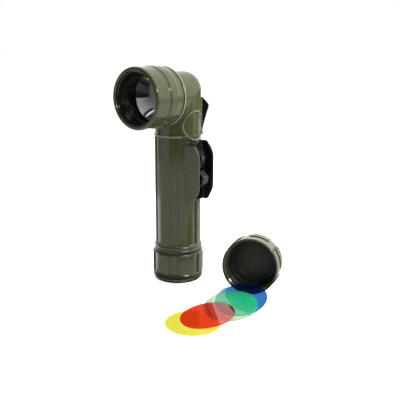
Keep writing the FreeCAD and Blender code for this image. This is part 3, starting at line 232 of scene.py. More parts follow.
def panelGroup():
    # A soft-edged patch of the surroundings, by its angle round the object and its height above the horizon
    group, given, result = newGroup("softPanel", ["Mask"], vector=False, Azimuth=0.0, Elevation=0.0,
                                    Middle=0.0, Half=20.0, Low=-90.0, High=95.0, Soft=1.5)
    away = maths(group, "WRAP", maths(group, "SUBTRACT", given["Azimuth"], given["Middle"]), 180.0, -180.0)
    hard = times(group, given["Soft"], -1.0)
    mask = 1.0
    across = maths(group, "ABSOLUTE", away)
    for first, second in ((given["Half"], across), (given["Elevation"], given["Low"]),
                          (given["High"], given["Elevation"])):
        edge = maths(group, "SUBTRACT", first, second)
        mask = times(group, mask, smooth(group, edge, hard, given["Soft"]))
    group.links.new(mask, result["Mask"])
    return group


panel = panelGroup()


def panelMask(tree, place, span, **limits):
    return useGroup(tree, panel, Azimuth=place[0], Elevation=place[1], Middle=span[0], Half=span[1],
                    **limits)[0]


def directionOf(tree, vector):
    parts = addNode(tree, "SeparateXYZ", Vector=vector).outputs
    azimuth = maths(tree, "DEGREES", maths(tree, "ARCTAN2", parts[0], parts[1]))
    return azimuth, parts


def lightLeft(tree, ray, middle, half, top, share, soft):
    return oneMinus(tree, times(tree, panelMask(tree, ray, (middle, half), High=top, Soft=soft), share))


def addWorld():
    scene.world = bpy.data.worlds.new("whiteTent")
    tree = emptyTree(scene.world)
    azimuth, parts = directionOf(tree, addNode(tree, "TexCoord").outputs["Generated"])
    ray = (azimuth, maths(tree, "DEGREES", maths(tree, "ARCSINE", parts[2])))
    *span, bright = studio["backdrop"]
    tone = times(tree, panelMask(tree, ray, span), bright)
    for *span, low, high, bright in studio["panels"]:
        tone = highest(tree, tone, times(tree, panelMask(tree, ray, span, Low=low, High=high), bright))
    ceiling = softStep(tree, ray[1], *studio["ceilingStart"], 0.0, studio["ceilingTone"])
    ceiling = times(tree, ceiling, lightLeft(tree, ray, *studio["frontCeiling"]))
    tone = highest(tree, tone, ceiling, studio["gapTone"])
    level = times(tree, lightLeft(tree, ray, *studio["frontShade"]), studio["worldStrength"])
    plain = lightShader(tree, "Background", level, studio["plainColour"])
    back, tent = [lightShader(tree, "Background", strength) for strength in (1.0, tone)]
    light = addNode(tree, "LightPath").outputs
    straight = highest(tree, light["Is Camera Ray"], light["Is Transmission Ray"])
    surroundings = mixShader(tree, light["Is Glossy Ray"], mixShader(tree, straight, plain, back), tent)
    addNode(tree, "OutputWorld", Surface=surroundings)


def meshOf(name, bm):
    mesh = bpy.data.meshes.new(name)
    bm.to_mesh(mesh)
    bm.free()
    return mesh


def addFloor():
    bm = bmesh.new()
    bmesh.ops.create_grid(bm, x_segments=1, y_segments=1, size=studio["floorSize"] / 2)
    floor = addObject("floor", meshOf("floor", bm))
    floor.location.z = -studio["floorDrop"]
    floor.data.materials.append(bpy.data.materials.new("floorPaper"))
    tree = emptyTree(floor.data.materials[0])
    azimuth, parts = directionOf(tree, addNode(tree, "NewGeometry").outputs["Position"])
    spot = (azimuth, 0.0)
    reach = maths(tree, "SQRT", maths(tree, "ADD", *[times(tree, part, part) for part in parts[:2]]))
    paper = softStep(tree, reach, *studio["paperReach"], 1.0, 0.0)
    for *span, start, end, share in studio["farPaper"]:
        ring = times(tree, softStep(tree, reach, start, studio["farSoft"]),
                     softStep(tree, reach, end, studio["farSoft"], share, 0.0))
        paper = highest(tree, paper, times(tree, panelMask(tree, spot, span), ring))
    tone = smooth(tree, paper, 0.0, 1.0, studio["gapTone"], studio["paperTone"])
    for *span, soft, near, extra in studio["leftPaper"]:
        left = times(tree, panelMask(tree, spot, span, Soft=soft),
                     softStep(tree, reach, near, studio["leftSoft"], 1.0, 0.0))
        tone = maths(tree, "MULTIPLY_ADD", left, extra, tone)
    light = addNode(tree, "LightPath").outputs
    glow = maths(tree, "MULTIPLY_ADD", light["Is Camera Ray"], studio["floorBackGlow"], studio["floorGlow"])
    white = addNode(tree, "BsdfDiffuse", Color=studio["floorColour"]).outputs[0]
    # Seen through a filter the paper is plain white, or the filter would stand in its own shadow
    shine, mirrored, through = [lightShader(tree, "Emission", strength) for strength in (glow, tone, 1.0)]
    lit = addNode(tree, "AddShader", i0=white, i1=shine).outputs[0]
    seen = mixShader(tree, light["Is Glossy Ray"], lit, mirrored)
    addNode(tree, "OutputMaterial", Surface=mixShader(tree, light["Is Transmission Ray"], seen, through))


def addLamp(name, settings):
    data = bpy.data.lights.new(name, "AREA")
    data.energy = settings["power"]
    data.shape = "RECTANGLE"
    data.size = settings["wide"]
    data.size_y = settings["tall"]
    lamp = addObject(name, data)
    lamp.location = settings["place"]
    aim = Vector(settings["aim"]) - Vector(settings["place"])
    lamp.rotation_euler = aim.to_track_quat("-Z", "Y").to_euler()
    lamp.visible_glossy = settings["mirrored"]


addWorld()
addFloor()
for name, settings in studioLamps.items():
    addLamp(name, settings)
print("studio set")

# Surface effects, each a group with its own values in every material

effects = {
    "grainNoise": (3.0, 0.55), "mottleNoise": (4.0, 0.6), "mottleRange": (0.3, 0.7),    # detail, roughness
    "edgeSamples": 4, "edgeBend": (0.01, 0.2), "edgeNoise": (350.0, 3.0, 0.6), "edgeRange": (0.35, 0.65),
    "dustNoise": (6.0, 0.75), "dustFacing": (0.3, 1.0), "dustRange": (0.45, 0.8),
    "scratches": ((0.5, (1.0, 0.03, 1.0)), (1.9, (0.04, 1.0, 1.0))),     # angle and stretch of each set
    "scratchDetail": 2.0, "scratchRange": (0.62, 0.7), "hollowSamples": 6,
}


def skinGroup():
    # Fine moulded or brushed unevenness: a height for bumps and a slow mottle for colour and gloss
    group, given, result = newGroup("fineSkin", ["Height", "Mottle"], Scale=900.0, MottleScale=60.0)
    fine = noise(group, given["Vector"], given["Scale"], *effects["grainNoise"])
    slow = noise(group, given["Vector"], given["MottleScale"], *effects["mottleNoise"])
    group.links.new(fine, result["Height"])
    group.links.new(smooth(group, slow, *effects["mottleRange"]), result["Mottle"])
    return group


def rubAndHighlightGroup():
    # Rubbed edges, partly a painted highlight on convex edges: the turn of the surface within a small
    # radius, broken up by noise
    group, given, result = newGroup("edgeRubAndHighlight", ["Mask"], Radius=0.0005, Strength=1.0)
    rounded = addNode(group, "Bevel", {"samples": effects["edgeSamples"]}, Radius=given["Radius"]).outputs[0]
    flat = addNode(group, "NewGeometry").outputs["Normal"]
    facing = addNode(group, "VectorMath", {"operation": "DOT_PRODUCT"}, i0=rounded, i1=flat)
    bend = smooth(group, oneMinus(group, facing.outputs["Value"]), *effects["edgeBend"])
    broken = smooth(group, noise(group, given["Vector"], *effects["edgeNoise"]), *effects["edgeRange"])
    group.links.new(times(group, times(group, bend, broken), given["Strength"]), result["Mask"])
    return group


def dustGroup():
    # Thin dust on surfaces that face upwards
    group, given, result = newGroup("fallenDust", ["Mask"], Amount=0.05, Scale=120.0)
    normal = addNode(group, "NewGeometry").outputs["Normal"]
    upward = addNode(group, "SeparateXYZ", Vector=normal).outputs[2]
    specks = noise(group, given["Vector"], given["Scale"], *effects["dustNoise"])
    mask = times(group, smooth(group, upward, *effects["dustFacing"]),
                 smooth(group, specks, *effects["dustRange"]))
    group.links.new(times(group, mask, given["Amount"]), result["Mask"])
    return group


def hairlineGroup():
    # Short fine scratches in two directions
    group, given, result = newGroup("hairlines", ["Mask"], Scale=400.0, Strength=0.3)
    lines = []
    for angle, stretch in effects["scratches"]:
        aligned = addNode(group, "VectorRotate", {"rotation_type": "Z_AXIS"}, Vector=given["Vector"],
                          Angle=angle)
        pulled = addNode(group, "VectorMath", {"operation": "MULTIPLY"}, i0=aligned.outputs[0], i1=stretch)
        line = noise(group, pulled.outputs[0], given["Scale"], effects["scratchDetail"])
        lines.append(smooth(group, line, *effects["scratchRange"]))
    group.links.new(times(group, highest(group, *lines), given["Strength"]), result["Mask"])
    return group


def paintedShadeGroup():
    # Painted shade: deep corners and hollows, where little light reaches, are painted darker
    group, given, result = newGroup("paintedCreviceShade", ["Mask"], vector=False, Reach=0.004, Start=0.3, End=0.65,
                                    Strength=0.9)
    daylight = addNode(group, "AmbientOcclusion", {"samples": effects["hollowSamples"], "only_local": True},
                       Distance=given["Reach"])
    closed = smooth(group, oneMinus(group, daylight.outputs["AO"]), given["Start"], given["End"])
    group.links.new(times(group, closed, given["Strength"]), result["Mask"])
    return group


skin = skinGroup()
creviceShade = paintedShadeGroup()
rubAndHighlight = rubAndHighlightGroup()
dust = dustGroup()
hairlines = hairlineGroup()

# Finishes, one for each material slot


def grey(tone):
    return (tone,) * 3


surfaces = {
    "plasticMottle": 55.0, "metalMottle": 90.0, "glassMottle": 40.0, "glassGrain": 300.0, "mottleShare": 0.6,
    "bumpHeight": 0.0002, "dustColour": (0.45, 0.44, 0.4), "creviceRough": 0.55,
    # the crevice colour, near black, is painted shade for corners and hollows
    "paintedShadeColour": grey(0.001), "paler": (1.02, 0.004), "smudgeRange": (0.6, 1.0),
    "coatRough": 0.01, "milkRough": 0.1,
}
# what most plastics share: wear and painted edge highlight, dust, spread of gloss, height of the grain,
# reach of the painted corner shade
usual = {"wearAndHighlight": 0.5, "dust": 0.02, "spread": 0.1, "bump": 0.05, "ior": 1.5, "reach": 0.004}
# each plastic's worn colour serves both rubbed edges and painted edge highlights
plastics = {
    "olive_plastic": {
        **usual, "colour": (0.024, 0.0286, 0.0113), "second": (0.0275, 0.0322, 0.0133),
        "wornAndHighlight": (0.2, 0.21, 0.16), "wearAndHighlight": 0.8, "rough": 0.09, "spread": 0.05, "grain": 1400.0,
        "bump": 0.012, "reach": 0.045},
    "black_plastic": {
        **usual, "colour": (0.003, 0.0032, 0.0028), "second": (0.005, 0.005, 0.0045), "wornAndHighlight": grey(0.03),
        "wearAndHighlight": 0.35, "rough": 0.3, "grain": 1600.0, "ior": 1.42},
    "knob_plastic": {
        **usual, "colour": (0.0055, 0.0055, 0.006), "second": (0.008, 0.008, 0.0085),
        "wornAndHighlight": (0.09, 0.09, 0.095), "rough": 0.28, "spread": 0.12, "grain": 1500.0, "dust": 0.03},
    "button_plastic": {
        **usual, "colour": grey(0.006), "second": grey(0.01), "wornAndHighlight": grey(0.06), "rough": 0.25,
        "grain": 1500.0, "bump": 0.04},
    "black_rubber": {
        **usual, "colour": grey(0.008), "second": (0.014, 0.014, 0.013), "wornAndHighlight": grey(0.04), "wearAndHighlight": 0.2,
        "rough": 0.62, "grain": 2200.0, "bump": 0.12, "dust": 0.03, "ior": 1.45},
    "clip_steel": {
        **usual, "colour": (0.004, 0.0045, 0.0035), "second": (0.0065, 0.007, 0.0055), "wornAndHighlight": grey(0.1),
        "rough": 0.33, "grain": 1100.0, "ior": 1.45},
    "cell_can": {
        **usual, "colour": (0.02, 0.022, 0.026), "second": (0.026, 0.028, 0.032), "wornAndHighlight": grey(0.12),
        "wearAndHighlight": 0.3, "rough": 0.22, "spread": 0.08, "grain": 800.0, "bump": 0.01, "dust": 0.0},
}
worked = {"spread": 0.12, "scratch": 0.3, "grain": 900.0, "bump": 0.03}
metals = {
    "reflector_mirror": {
        "colour": (0.86, 0.86, 0.87), "second": (0.8, 0.8, 0.82), "rough": 0.06, "spread": 0.04,
        "scratch": 0.05, "grain": 500.0, "bump": 0.01},
    "contact_brass": {
        **worked, "colour": (0.78, 0.56, 0.27), "second": (0.6, 0.4, 0.18), "rough": 0.22, "spread": 0.16},
    "spring_steel": {**worked, "colour": (0.42, 0.42, 0.43), "second": grey(0.3), "rough": 0.28},
    "plated_steel": {
        "colour": grey(0.12), "second": grey(0.06), "rough": 0.26, "spread": 0.14, "scratch": 0.4,
        "grain": 1000.0, "bump": 0.04},
}
sheet = {"rough": 0.01, "smudge": 0.02, "ior": 1.06, "coat": 1.5}
glasses = {
    "clear_plastic": {"colour": (0.985, 0.99, 0.985), "rough": 0.0, "smudge": 0.03, "ior": 1.47},
    "bulb_glass": {"colour": grey(0.99), "rough": 0.0, "smudge": 0.02, "ior": 1.5},
    "yellow_filter": {"colour": (0.97, 0.93, 0.1), **sheet},
    "green_filter": {"colour": (0.78, 0.52, 0.65), "milk": (0.0, 0.9, 0.02), "milkShare": 0.12, **sheet},
    "blue_filter": {"colour": (0.045, 0.235, 0.6), "milk": (0.01, 0.02, 0.2), "milkShare": 0.08, **sheet},
    "red_filter": {"colour": (0.97, 0.058, 0.03), **sheet},
}


def newMaterial(name):
    material = bpy.data.materials.new(name)
    material.use_nodes = True
    tree = material.node_tree
    return material, tree, tree.nodes["Principled BSDF"], addNode(tree, "TexCoord").outputs["Object"]


def faceMark(tree, name):
    return addNode(tree, "Attribute", {"attribute_name": name}).outputs["Fac"]


def grainAndGloss(tree, shader, look, height, share, paintedShade=0.0):
    gloss = smooth(tree, share, 0.0, 1.0, look["rough"], look["rough"] + look["spread"])
    gloss = maths(tree, "MULTIPLY_ADD", paintedShade, surfaces["creviceRough"], gloss)
    bump = addNode(tree, "Bump", Strength=look["bump"], Distance=surfaces["bumpHeight"], Height=height)
    fill(tree, shader, Roughness=gloss, Normal=bump.outputs[0])


def plasticMaterial(name, look):
    material, tree, shader, place = newMaterial(name)
    surface = useGroup(tree, skin, Vector=place, Scale=look["grain"], MottleScale=surfaces["plasticMottle"])
    # Rubbed edges, partly a painted highlight on convex edges
    wornAndHighlight = useGroup(tree, rubAndHighlight, Vector=place, Strength=look["wearAndHighlight"])[0]
    fallen = useGroup(tree, dust, Vector=place, Amount=look["dust"])[0]
    # Painted shade in corners and hollows, taken off the wall just inside the loose cap's mouth, where light
    # falls
    paintedShade = useGroup(tree, creviceShade, Reach=look["reach"])[0]
    paintedShade = times(tree, paintedShade, oneMinus(tree, faceMark(tree, "litWall")))
    colour = mixColour(tree, surface["Mottle"], look["colour"], look["second"])
    # Rubbed edges and the marked edges' painted highlight take the paler edge colour
    colour = mixColour(tree, highest(tree, wornAndHighlight, faceMark(tree, "paintedEdgeHighlight")), colour, look["wornAndHighlight"])
    colour = mixColour(tree, fallen, colour, surfaces["dustColour"])
    # Painted shade: corners, hollows and the bores of the rings go near black
    dark = highest(tree, paintedShade, faceMark(tree, "paintedBoreShade"))
    colour = mixColour(tree, dark, colour, surfaces["paintedShadeColour"])
    fill(tree, shader, Base_Color=colour, IOR=look["ior"])
    grainAndGloss(tree, shader, look, surface["Height"], highest(tree, surface["Mottle"], wornAndHighlight), paintedShade)
    return material


def metalMaterial(name, look):
    material, tree, shader, place = newMaterial(name)
    surface = useGroup(tree, skin, Vector=place, Scale=look["grain"], MottleScale=surfaces["metalMottle"])
    lines = useGroup(tree, hairlines, Vector=place, Strength=look["scratch"])[0]
    share = highest(tree, times(tree, surface["Mottle"], surfaces["mottleShare"]), lines)
    fill(tree, shader, Base_Color=mixColour(tree, share, look["colour"], look["second"]), Metallic=1.0)
    grainAndGloss(tree, shader, look, surface["Height"], share)
    return material


def glassMaterial(name, look):
    material, tree, shader, place = newMaterial(name)
    mottle = useGroup(tree, skin, Vector=place, Scale=surfaces["glassGrain"],
                      MottleScale=surfaces["glassMottle"])["Mottle"]
    gain, lift = surfaces["paler"]
    paler = tuple(min(1.0, part * gain + lift) for part in look["colour"])
    gloss = smooth(tree, mottle, *surfaces["smudgeRange"], look["rough"], look["rough"] + look["smudge"])
    fill(tree, shader, Base_Color=mixColour(tree, mottle, look["colour"], paler), Roughness=gloss,
         Transmission_Weight=1.0, IOR=look["ior"])
    if "coat" in look:
        fill(tree, shader, Coat_Weight=1.0, Coat_IOR=look["coat"], Coat_Roughness=surfaces["coatRough"])
    if "milk" in look:
        milk = addNode(tree, "BsdfPrincipled", Base_Color=(*look["milk"], 1), IOR=look["ior"],
                       Roughness=surfaces["milkRough"])
        both = mixShader(tree, look["milkShare"], shader.outputs[0], milk.outputs[0])
        fill(tree, tree.nodes["Material Output"], Surface=both)
    return material


finishes = {}
for table, build in ((plastics, plasticMaterial), (metals, metalMaterial), (glasses, glassMaterial)):
    for slot, look in table.items():
        finishes[slot] = build(slot.title().replace("_", ""), look)
for entry in frame["record"]["subparts"]:
    node = nodes[entry["node"]]
    node.data.materials.clear()
    node.data.materials.append(finishes[entry["material_slot"]])
print("finishes made and given to the frame's nodes")

# Modelling helpers. Pieces are modelled in millimetres and scaled once, when they are kept

mm = 0.001
making = {
    "sharpAngle": 38, "weld": 0.0005, "copyWeld": 0.002, "copyFlat": 0.5, "softSharp": 40.0, "landSteps": 12,
    "cornerSteps": 5, "fewSteps": 2, "drumAround": 168,
    "threadSteps": 72,              # in one turn
    "threadRoot": 0.5,              # how deep a thread stands in its wall, as a share of its depth
    "threadCrest": (0.42, 0.58),    # where the crest lies in the pitch
}
headHeight = sum(corner.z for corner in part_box("filter_ring")) / 2 / mm


def placed(height, matrix):
    return Matrix.Translation((0, 0, height)) @ matrix


backward = turn(-90, "X")  # what is modelled along Z then points to the back
outward = turn(90, "Y")    # what is modelled along Z then points along +X
headTurn = placed(headHeight, backward)


def moveAll(bm, matrix):
    bmesh.ops.transform(bm, matrix=matrix, verts=bm.verts[:])


def stretchAll(bm, vec):
    bmesh.ops.scale(bm, vec=vec, verts=bm.verts[:])


def bevelled(bm, geom, amount, steps, kind):
    bmesh.ops.bevel(bm, geom=geom, offset=amount, offset_type="OFFSET", segments=steps, profile=0.5,
                    affect=kind, clamp_overlap=True, material=-1)


def softEdges(bm, amount, sharper=30.0, steps=3):
    sharp = [edge for edge in bm.edges if len(edge.link_faces) == 2
             and edge.calc_face_angle() > math.radians(sharper)]
    bevelled(bm, sharp, amount, steps, "EDGES")


def faceOut(bm):
    bmesh.ops.recalc_face_normals(bm, faces=bm.faces[:])


def movePart(bm, result, vec):
    moved = [item for item in result["geom"] if isinstance(item, bmesh.types.BMVert)]
    bmesh.ops.translate(bm, vec=vec, verts=moved)


def bentLine(spots, corners, steps, closed=False):
    # Spots joined by edges, each rounded by the last number of its corner
    bm = bmesh.new()
    verts = [bm.verts.new(spot) for spot in spots]
    for first, second in zip(verts, verts[1:] + verts[:1] * closed):
        bm.edges.new((first, second))
    for vert, corner in zip(verts, corners):
        if corner[-1]:
            bevelled(bm, [vert], corner[-1], steps, "VERTICES")
    return bm


def flatFace(corners, depth=0.0):
    bm = bmesh.new()
    bm.faces.new([bm.verts.new((across, depth, along)) for across, along in corners])
    return bm


def spinRound(bm, degrees, steps, climb=0.0, merge=False):
    # Carries all there is round the Z axis, climbing by so much at each step
    bmesh.ops.spin(bm, geom=bm.verts[:] + bm.edges[:] + bm.faces[:], cent=(0, 0, 0), axis=(0, 0, 1),
                   dvec=(0, 0, climb), angle=math.radians(degrees), steps=steps, use_merge=merge,
                   use_duplicate=False)
    if merge:
        bmesh.ops.remove_doubles(bm, verts=bm.verts[:], dist=making["weld"])
    faceOut(bm)


def turned(corners, around=128, steps=4, closed=True):
    # Corners are (radius, height, rounding); the outline is closed unless it starts and ends on the axis
    closed = closed and (corners[0][0] > 0 or corners[-1][0] > 0)
    bm = bentLine([(radius, 0, height) for radius, height, rounding in corners], corners, steps, closed)
    spinRound(bm, 360, around, merge=True)
    return bm


def land(inner, outer, low, high, angle, soft, slope=0.0):
    # A raised stretch of a turned surface, centred on the X axis, with rounded edges
    bm = flatFace([(inner, low), (outer, low + slope), (outer, high - slope), (inner, high)])
    moveAll(bm, turn(-angle / 2, "Z"))
    spinRound(bm, angle, making["landSteps"])
    softEdges(bm, soft, making["softSharp"])
    return bm


def thread(radius, low, turns, pitch, depth):
    # A helical crest: a small V section carried round and up. A negative depth points inwards
    root, crest = radius - depth * making["threadRoot"], radius + depth
    first, second = [low + share * pitch for share in making["threadCrest"]]
    bm = flatFace([(root, low), (crest, first), (crest, second), (root, low + pitch)])
    steps = int(turns * making["threadSteps"])
    spinRound(bm, 360 * turns, steps, pitch * turns / steps)
    return bm


def wound(radius, wire, around, turns, perTurn, span=0.0, low=0.0):
    # Round wire wound about the Z axis, as a spring over a span or as a closed ring
    bm = bmesh.new()
    bmesh.ops.create_circle(bm, cap_ends=span > 0, segments=around, radius=wire)
    moveAll(bm, Matrix.Translation((radius, 0, low)) @ turn(90, "X"))
    steps = turns * perTurn
    spinRound(bm, 360 * turns, steps, span / steps, merge=span == 0)
    return bm


def plate(corners, low, high, rounding):
    # A flat outline with rounded corners, given thickness along Y
    bm = flatFace(corners, low)
    for vert in bm.verts[:]:
        bevelled(bm, [vert], rounding, making["cornerSteps"], "VERTICES")
    movePart(bm, bmesh.ops.extrude_face_region(bm, geom=bm.faces[:]), (0, high - low, 0))
    faceOut(bm)
    return bm


def block(low, high, soft):
    bm = bmesh.new()
    low, high = Vector(low), Vector(high)
    bmesh.ops.create_cube(bm, size=1.0)
    stretchAll(bm, high - low)
    moveAll(bm, Matrix.Translation((low + high) / 2))
    softEdges(bm, soft)
    return bm


def gather(parts):
    # Several meshes in one, each alone or together with the matrix that places it
    whole = bmesh.new()
    for part in parts:
        if isinstance(part, tuple):
            part, place = part
            moveAll(part, place)
        holder = meshOf("holder", part)
        whole.from_mesh(holder)
        bpy.data.meshes.remove(holder)
    return whole


def ribbed(drum, extra=()):
    # A turned shell with its threads, anything extra, and a ring of raised lands from a starting angle
    parts = [turned(drum["shell"], making["drumAround"])]
    parts.extend(thread(*values) for values in drum["threads"])
    parts.extend(extra)
    count, start = drum["lands"]
    for order in range(count):
        parts.append((land(**drum["land"]), turn(start + 360 / count * order, "Z")))
    return gather(parts)


def keep(name, bm, slot, *replaced, body="housing", place=None):
    if place is not None:
        moveAll(bm, place)
    stretchAll(bm, (mm, mm, mm))
    mesh = meshOf(name, bm)
    mesh.polygons.foreach_set("use_smooth", [True] * len(mesh.polygons))
    mesh.set_sharp_from_angle(angle=math.radians(making["sharpAngle"]))
    mesh.materials.append(finishes[slot])
    piece = addObject(name, mesh)
    piece.modifiers.new("evenShading", "WEIGHTED_NORMAL").keep_sharp = True
    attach(piece, body)
    if replaced:
        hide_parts(*replaced)
    print("made", name, "with", len(mesh.polygons), "faces")
    return piece


def markFaces(piece, name, amount):
    # A face attribute that the plastics read, from each face's centre in millimetres and its normal
    faces = piece.data.polygons
    mark = piece.data.attributes.new(name, "FLOAT", "FACE")
    mark.data.foreach_set("value", [float(amount(face.center / mm, face.normal)) for face in faces])


def fromHeadAxis(centre):
    return Vector((centre.x, 0, centre.z - headHeight))


def softCopy(name, node, slot, soft):
    # The frame's own shape with its edges rounded
    bm = bmesh.new()
    bm.from_mesh(nodes[node].data)
    stretchAll(bm, (1 / mm, 1 / mm, 1 / mm))
    bmesh.ops.remove_doubles(bm, verts=bm.verts[:], dist=making["copyWeld"])
    bmesh.ops.dissolve_limit(bm, angle_limit=math.radians(making["copyFlat"]), use_dissolve_boundaries=False,
                             verts=bm.verts[:], edges=bm.edges[:])
    softEdges(bm, soft, making["softSharp"], making["fewSteps"])
    return keep(name, bm, slot, node)


# Bezel: hood, lens ring and lens

bezel = {
    "around": 160, "steps": 5,
    "hood": [(23.8, -37.95, 0.2), (26.3, -37.95, 0.15), (26.8, -38.3, 0.35), (26.8, -39.2, 0.5),
             (26.45, -39.8, 0.4), (26.5, -47.5, 1.5), (26.75, -55.2, 2.1), (23.75, -55.2, 0.35),
             (23.2, -54.4, 0.25), (22.7, -52.8, 0.2), (22.1, -52.6, 0.25), (21.7, -50.8, 0.4),
             (21.7, -44.7, 0.1), (22.9, -44.7, 0.1), (22.9, -43.4, 0.1), (23.8, -43.4, 0.2)],
    "ring": [(23.6, -21.4, 0.2), (25.4, -21.4, 0.3), (26.15, -22.2, 0.4), (26.3, -27.4, 0.8),
             (26.95, -29.2, 0.9), (27.0, -37.5, 0.35), (26.6, -37.9, 0.15), (23.2, -37.9, 0.1),
             (23.2, -43.3, 0.3), (21.7, -43.3, 0.2), (21.7, -33.9, 0.1), (22.9, -33.9, 0.1),
             (22.9, -28.2, 0.2), (23.6, -28.2, 0.2)]
            + [(radius, middle + along, soft) for middle in (-26.5, -24.5, -22.5)
               for radius, along, soft in ((23.6, -0.5, 0), (24.0, 0, 0.1), (23.6, 0.5, 0))],
    "lens": [(0, -33.88, 0), (22.7, -33.88, 0.15), (22.7, -32.4, 0.15), (0, -32.4, 0)],
    # radius, start, turns, pitch and depth, half a pitch apart so that the crests lie between one another
    "hoodThread": (23.75, -43.2, 1.5, 2.0, -0.4), "ringThread": (23.2, -42.2, 1.1, 2.0, 0.4),
    "boreRadius": 23.0, "boreSlope": 0.05, "boreShade": 0.87,
}


def boreShade(centre, normal):
    # Painted shade: the wall inside the rings, which faces the head's axis, is painted dark
    away = fromHeadAxis(centre)
    inside = away.length < bezel["boreRadius"] and normal.dot(away) <= bezel["boreSlope"] * away.length
    return bezel["boreShade"] * inside


for name, part, body, node in (("hoodRing", "hood", "filter_collar", "filter_ring"),
                               ("lensRing", "ring", "lens_collar", "lens_ring")):
    shell = turned(bezel[part], bezel["around"], bezel["steps"])
    whole = gather([shell, thread(*bezel[part + "Thread"])])
    piece = keep(name, whole, "olive_plastic", node, body=body, place=headTurn)
    markFaces(piece, "paintedBoreShade", boreShade)
keep("frontLens", turned(bezel["lens"]), "clear_plastic", "clear_lens", body="lens_set", place=headTurn)
print("bezel made")

# Reflector and bulb

mirror = {"front": -31.25, "depth": 19.0, "rim": 20.9, "hole": 5.5, "wall": 0.8, "flange": 22.6, "lip": 0.8,
          "steps": 13, "soft": 0.2, "around": 160}
bulb = {
    "globe": 5.0, "globeCentre": -17.2, "glass": 0.35, "globeSteps": 16, "neck": 3.7, "around": 48,
    "front": -12.2, "sink": 0.4,     # where the brass starts, and how far glass and posts go into it
    "base": [(0, -12.2, 0), (4.6, -12.2, 0.4), (4.6, -8.6, 0.1), (6.2, -8.6, 0.2), (6.2, -8.0, 0.2),
             (4.6, -8.0, 0.1), (4.6, -0.4, 0.5), (2.4, -0.4, 0.3), (1.8, 0.2, 0.3), (0, 0.6, 0)],
    "baseAround": 64, "postAround": 12, "beadAround": (16, 10),
    "postGap": 1.5, "postReach": 5.2, "postLean": 6, "wire": 0.16, "wireTip": 0.128,
    "coil": (0.32, 0.05, 6, 9, 12),  # radius, wire, sides, turns and steps in a turn
    "coilSpan": 3.5, "coilLift": 0.5, "bead": (2.2, 0.8, 0.7), "beadLift": 1.2,
}


def reflectorBowl():
    inner, outer = [], []
    for step in range(mirror["steps"] + 1):
        radius = mirror["hole"] + (mirror["rim"] - mirror["hole"]) * step / mirror["steps"]
        slope = 2 * mirror["depth"] * radius / mirror["rim"] ** 2
        height = mirror["front"] + mirror["depth"] * (1 - (radius / mirror["rim"]) ** 2)
        tilt = math.hypot(1, slope)
        inner.append((radius, height, 0))
        outer.append((radius + mirror["wall"] * slope / tilt, height + mirror["wall"] / tilt, 0))
    lip = mirror["front"] + mirror["lip"]
    outer[-1] = (outer[-1][0], lip, 0)
    rim = [(mirror["flange"], height, mirror["soft"]) for height in (mirror["front"], lip)]
    return turned(inner + rim + outer[::-1], mirror["around"])


def bulbGlobe():
    # A thin blown envelope, open into the base
    globe, middle = bulb["globe"], bulb["globeCentre"]
    start = math.asin(bulb["neck"] / globe)
    outline = [(bulb["neck"], bulb["front"] + bulb["sink"], 0)]
    for step in range(bulb["globeSteps"]):
        angle = start + (math.pi - start) * step / bulb["globeSteps"]
        outline.append((globe * math.sin(angle), middle + globe * math.cos(angle), 0))
    bm = turned(outline + [(0, middle - globe, 0)], bulb["around"], closed=False)
    bmesh.ops.solidify(bm, geom=bm.faces[:], thickness=bulb["glass"])
    return bm


def filament():
    # Two leaning posts with a fine coil between their tips, on a glass bead
    parts = []
    for side in (-1, 1):
        post = bmesh.new()
        bmesh.ops.create_cone(post, cap_ends=True, segments=bulb["postAround"], radius1=bulb["wire"],
                              radius2=bulb["wireTip"], depth=bulb["postReach"])
        middle = bulb["front"] - bulb["postReach"] / 2 + bulb["sink"]
        lean = turn(bulb["postLean"] * side, "Y")
        parts.append((post, Matrix.Translation((side * bulb["postGap"], 0, middle)) @ lean))
    span = bulb["coilSpan"]
    height = bulb["front"] - bulb["postReach"] + bulb["coilLift"]
    parts.append((wound(*bulb["coil"], span), Matrix.Translation((-span / 2, 0, height)) @ outward))
    bead = bmesh.new()
    across, along = bulb["beadAround"]
    bmesh.ops.create_uvsphere(bead, u_segments=across, v_segments=along, radius=1.0)
    stretchAll(bead, bulb["bead"])
    parts.append((bead, Matrix.Translation((0, 0, bulb["front"] - bulb["beadLift"]))))
    return gather(parts)


keep("reflectorBowl", reflectorBowl(), "reflector_mirror", "reflector", body="lens_set", place=headTurn)
keep("bulbGlobe", bulbGlobe(), "bulb_glass", "bulb_glass", place=headTurn)
keep("bulbBase", turned(bulb["base"], bulb["baseAround"]), "contact_brass", "bulb_base", place=headTurn)
keep("bulbFilament", filament(), "spring_steel", place=headTurn)
print("lamp made")

# Battery tube with its lands, guard wings and switch seat

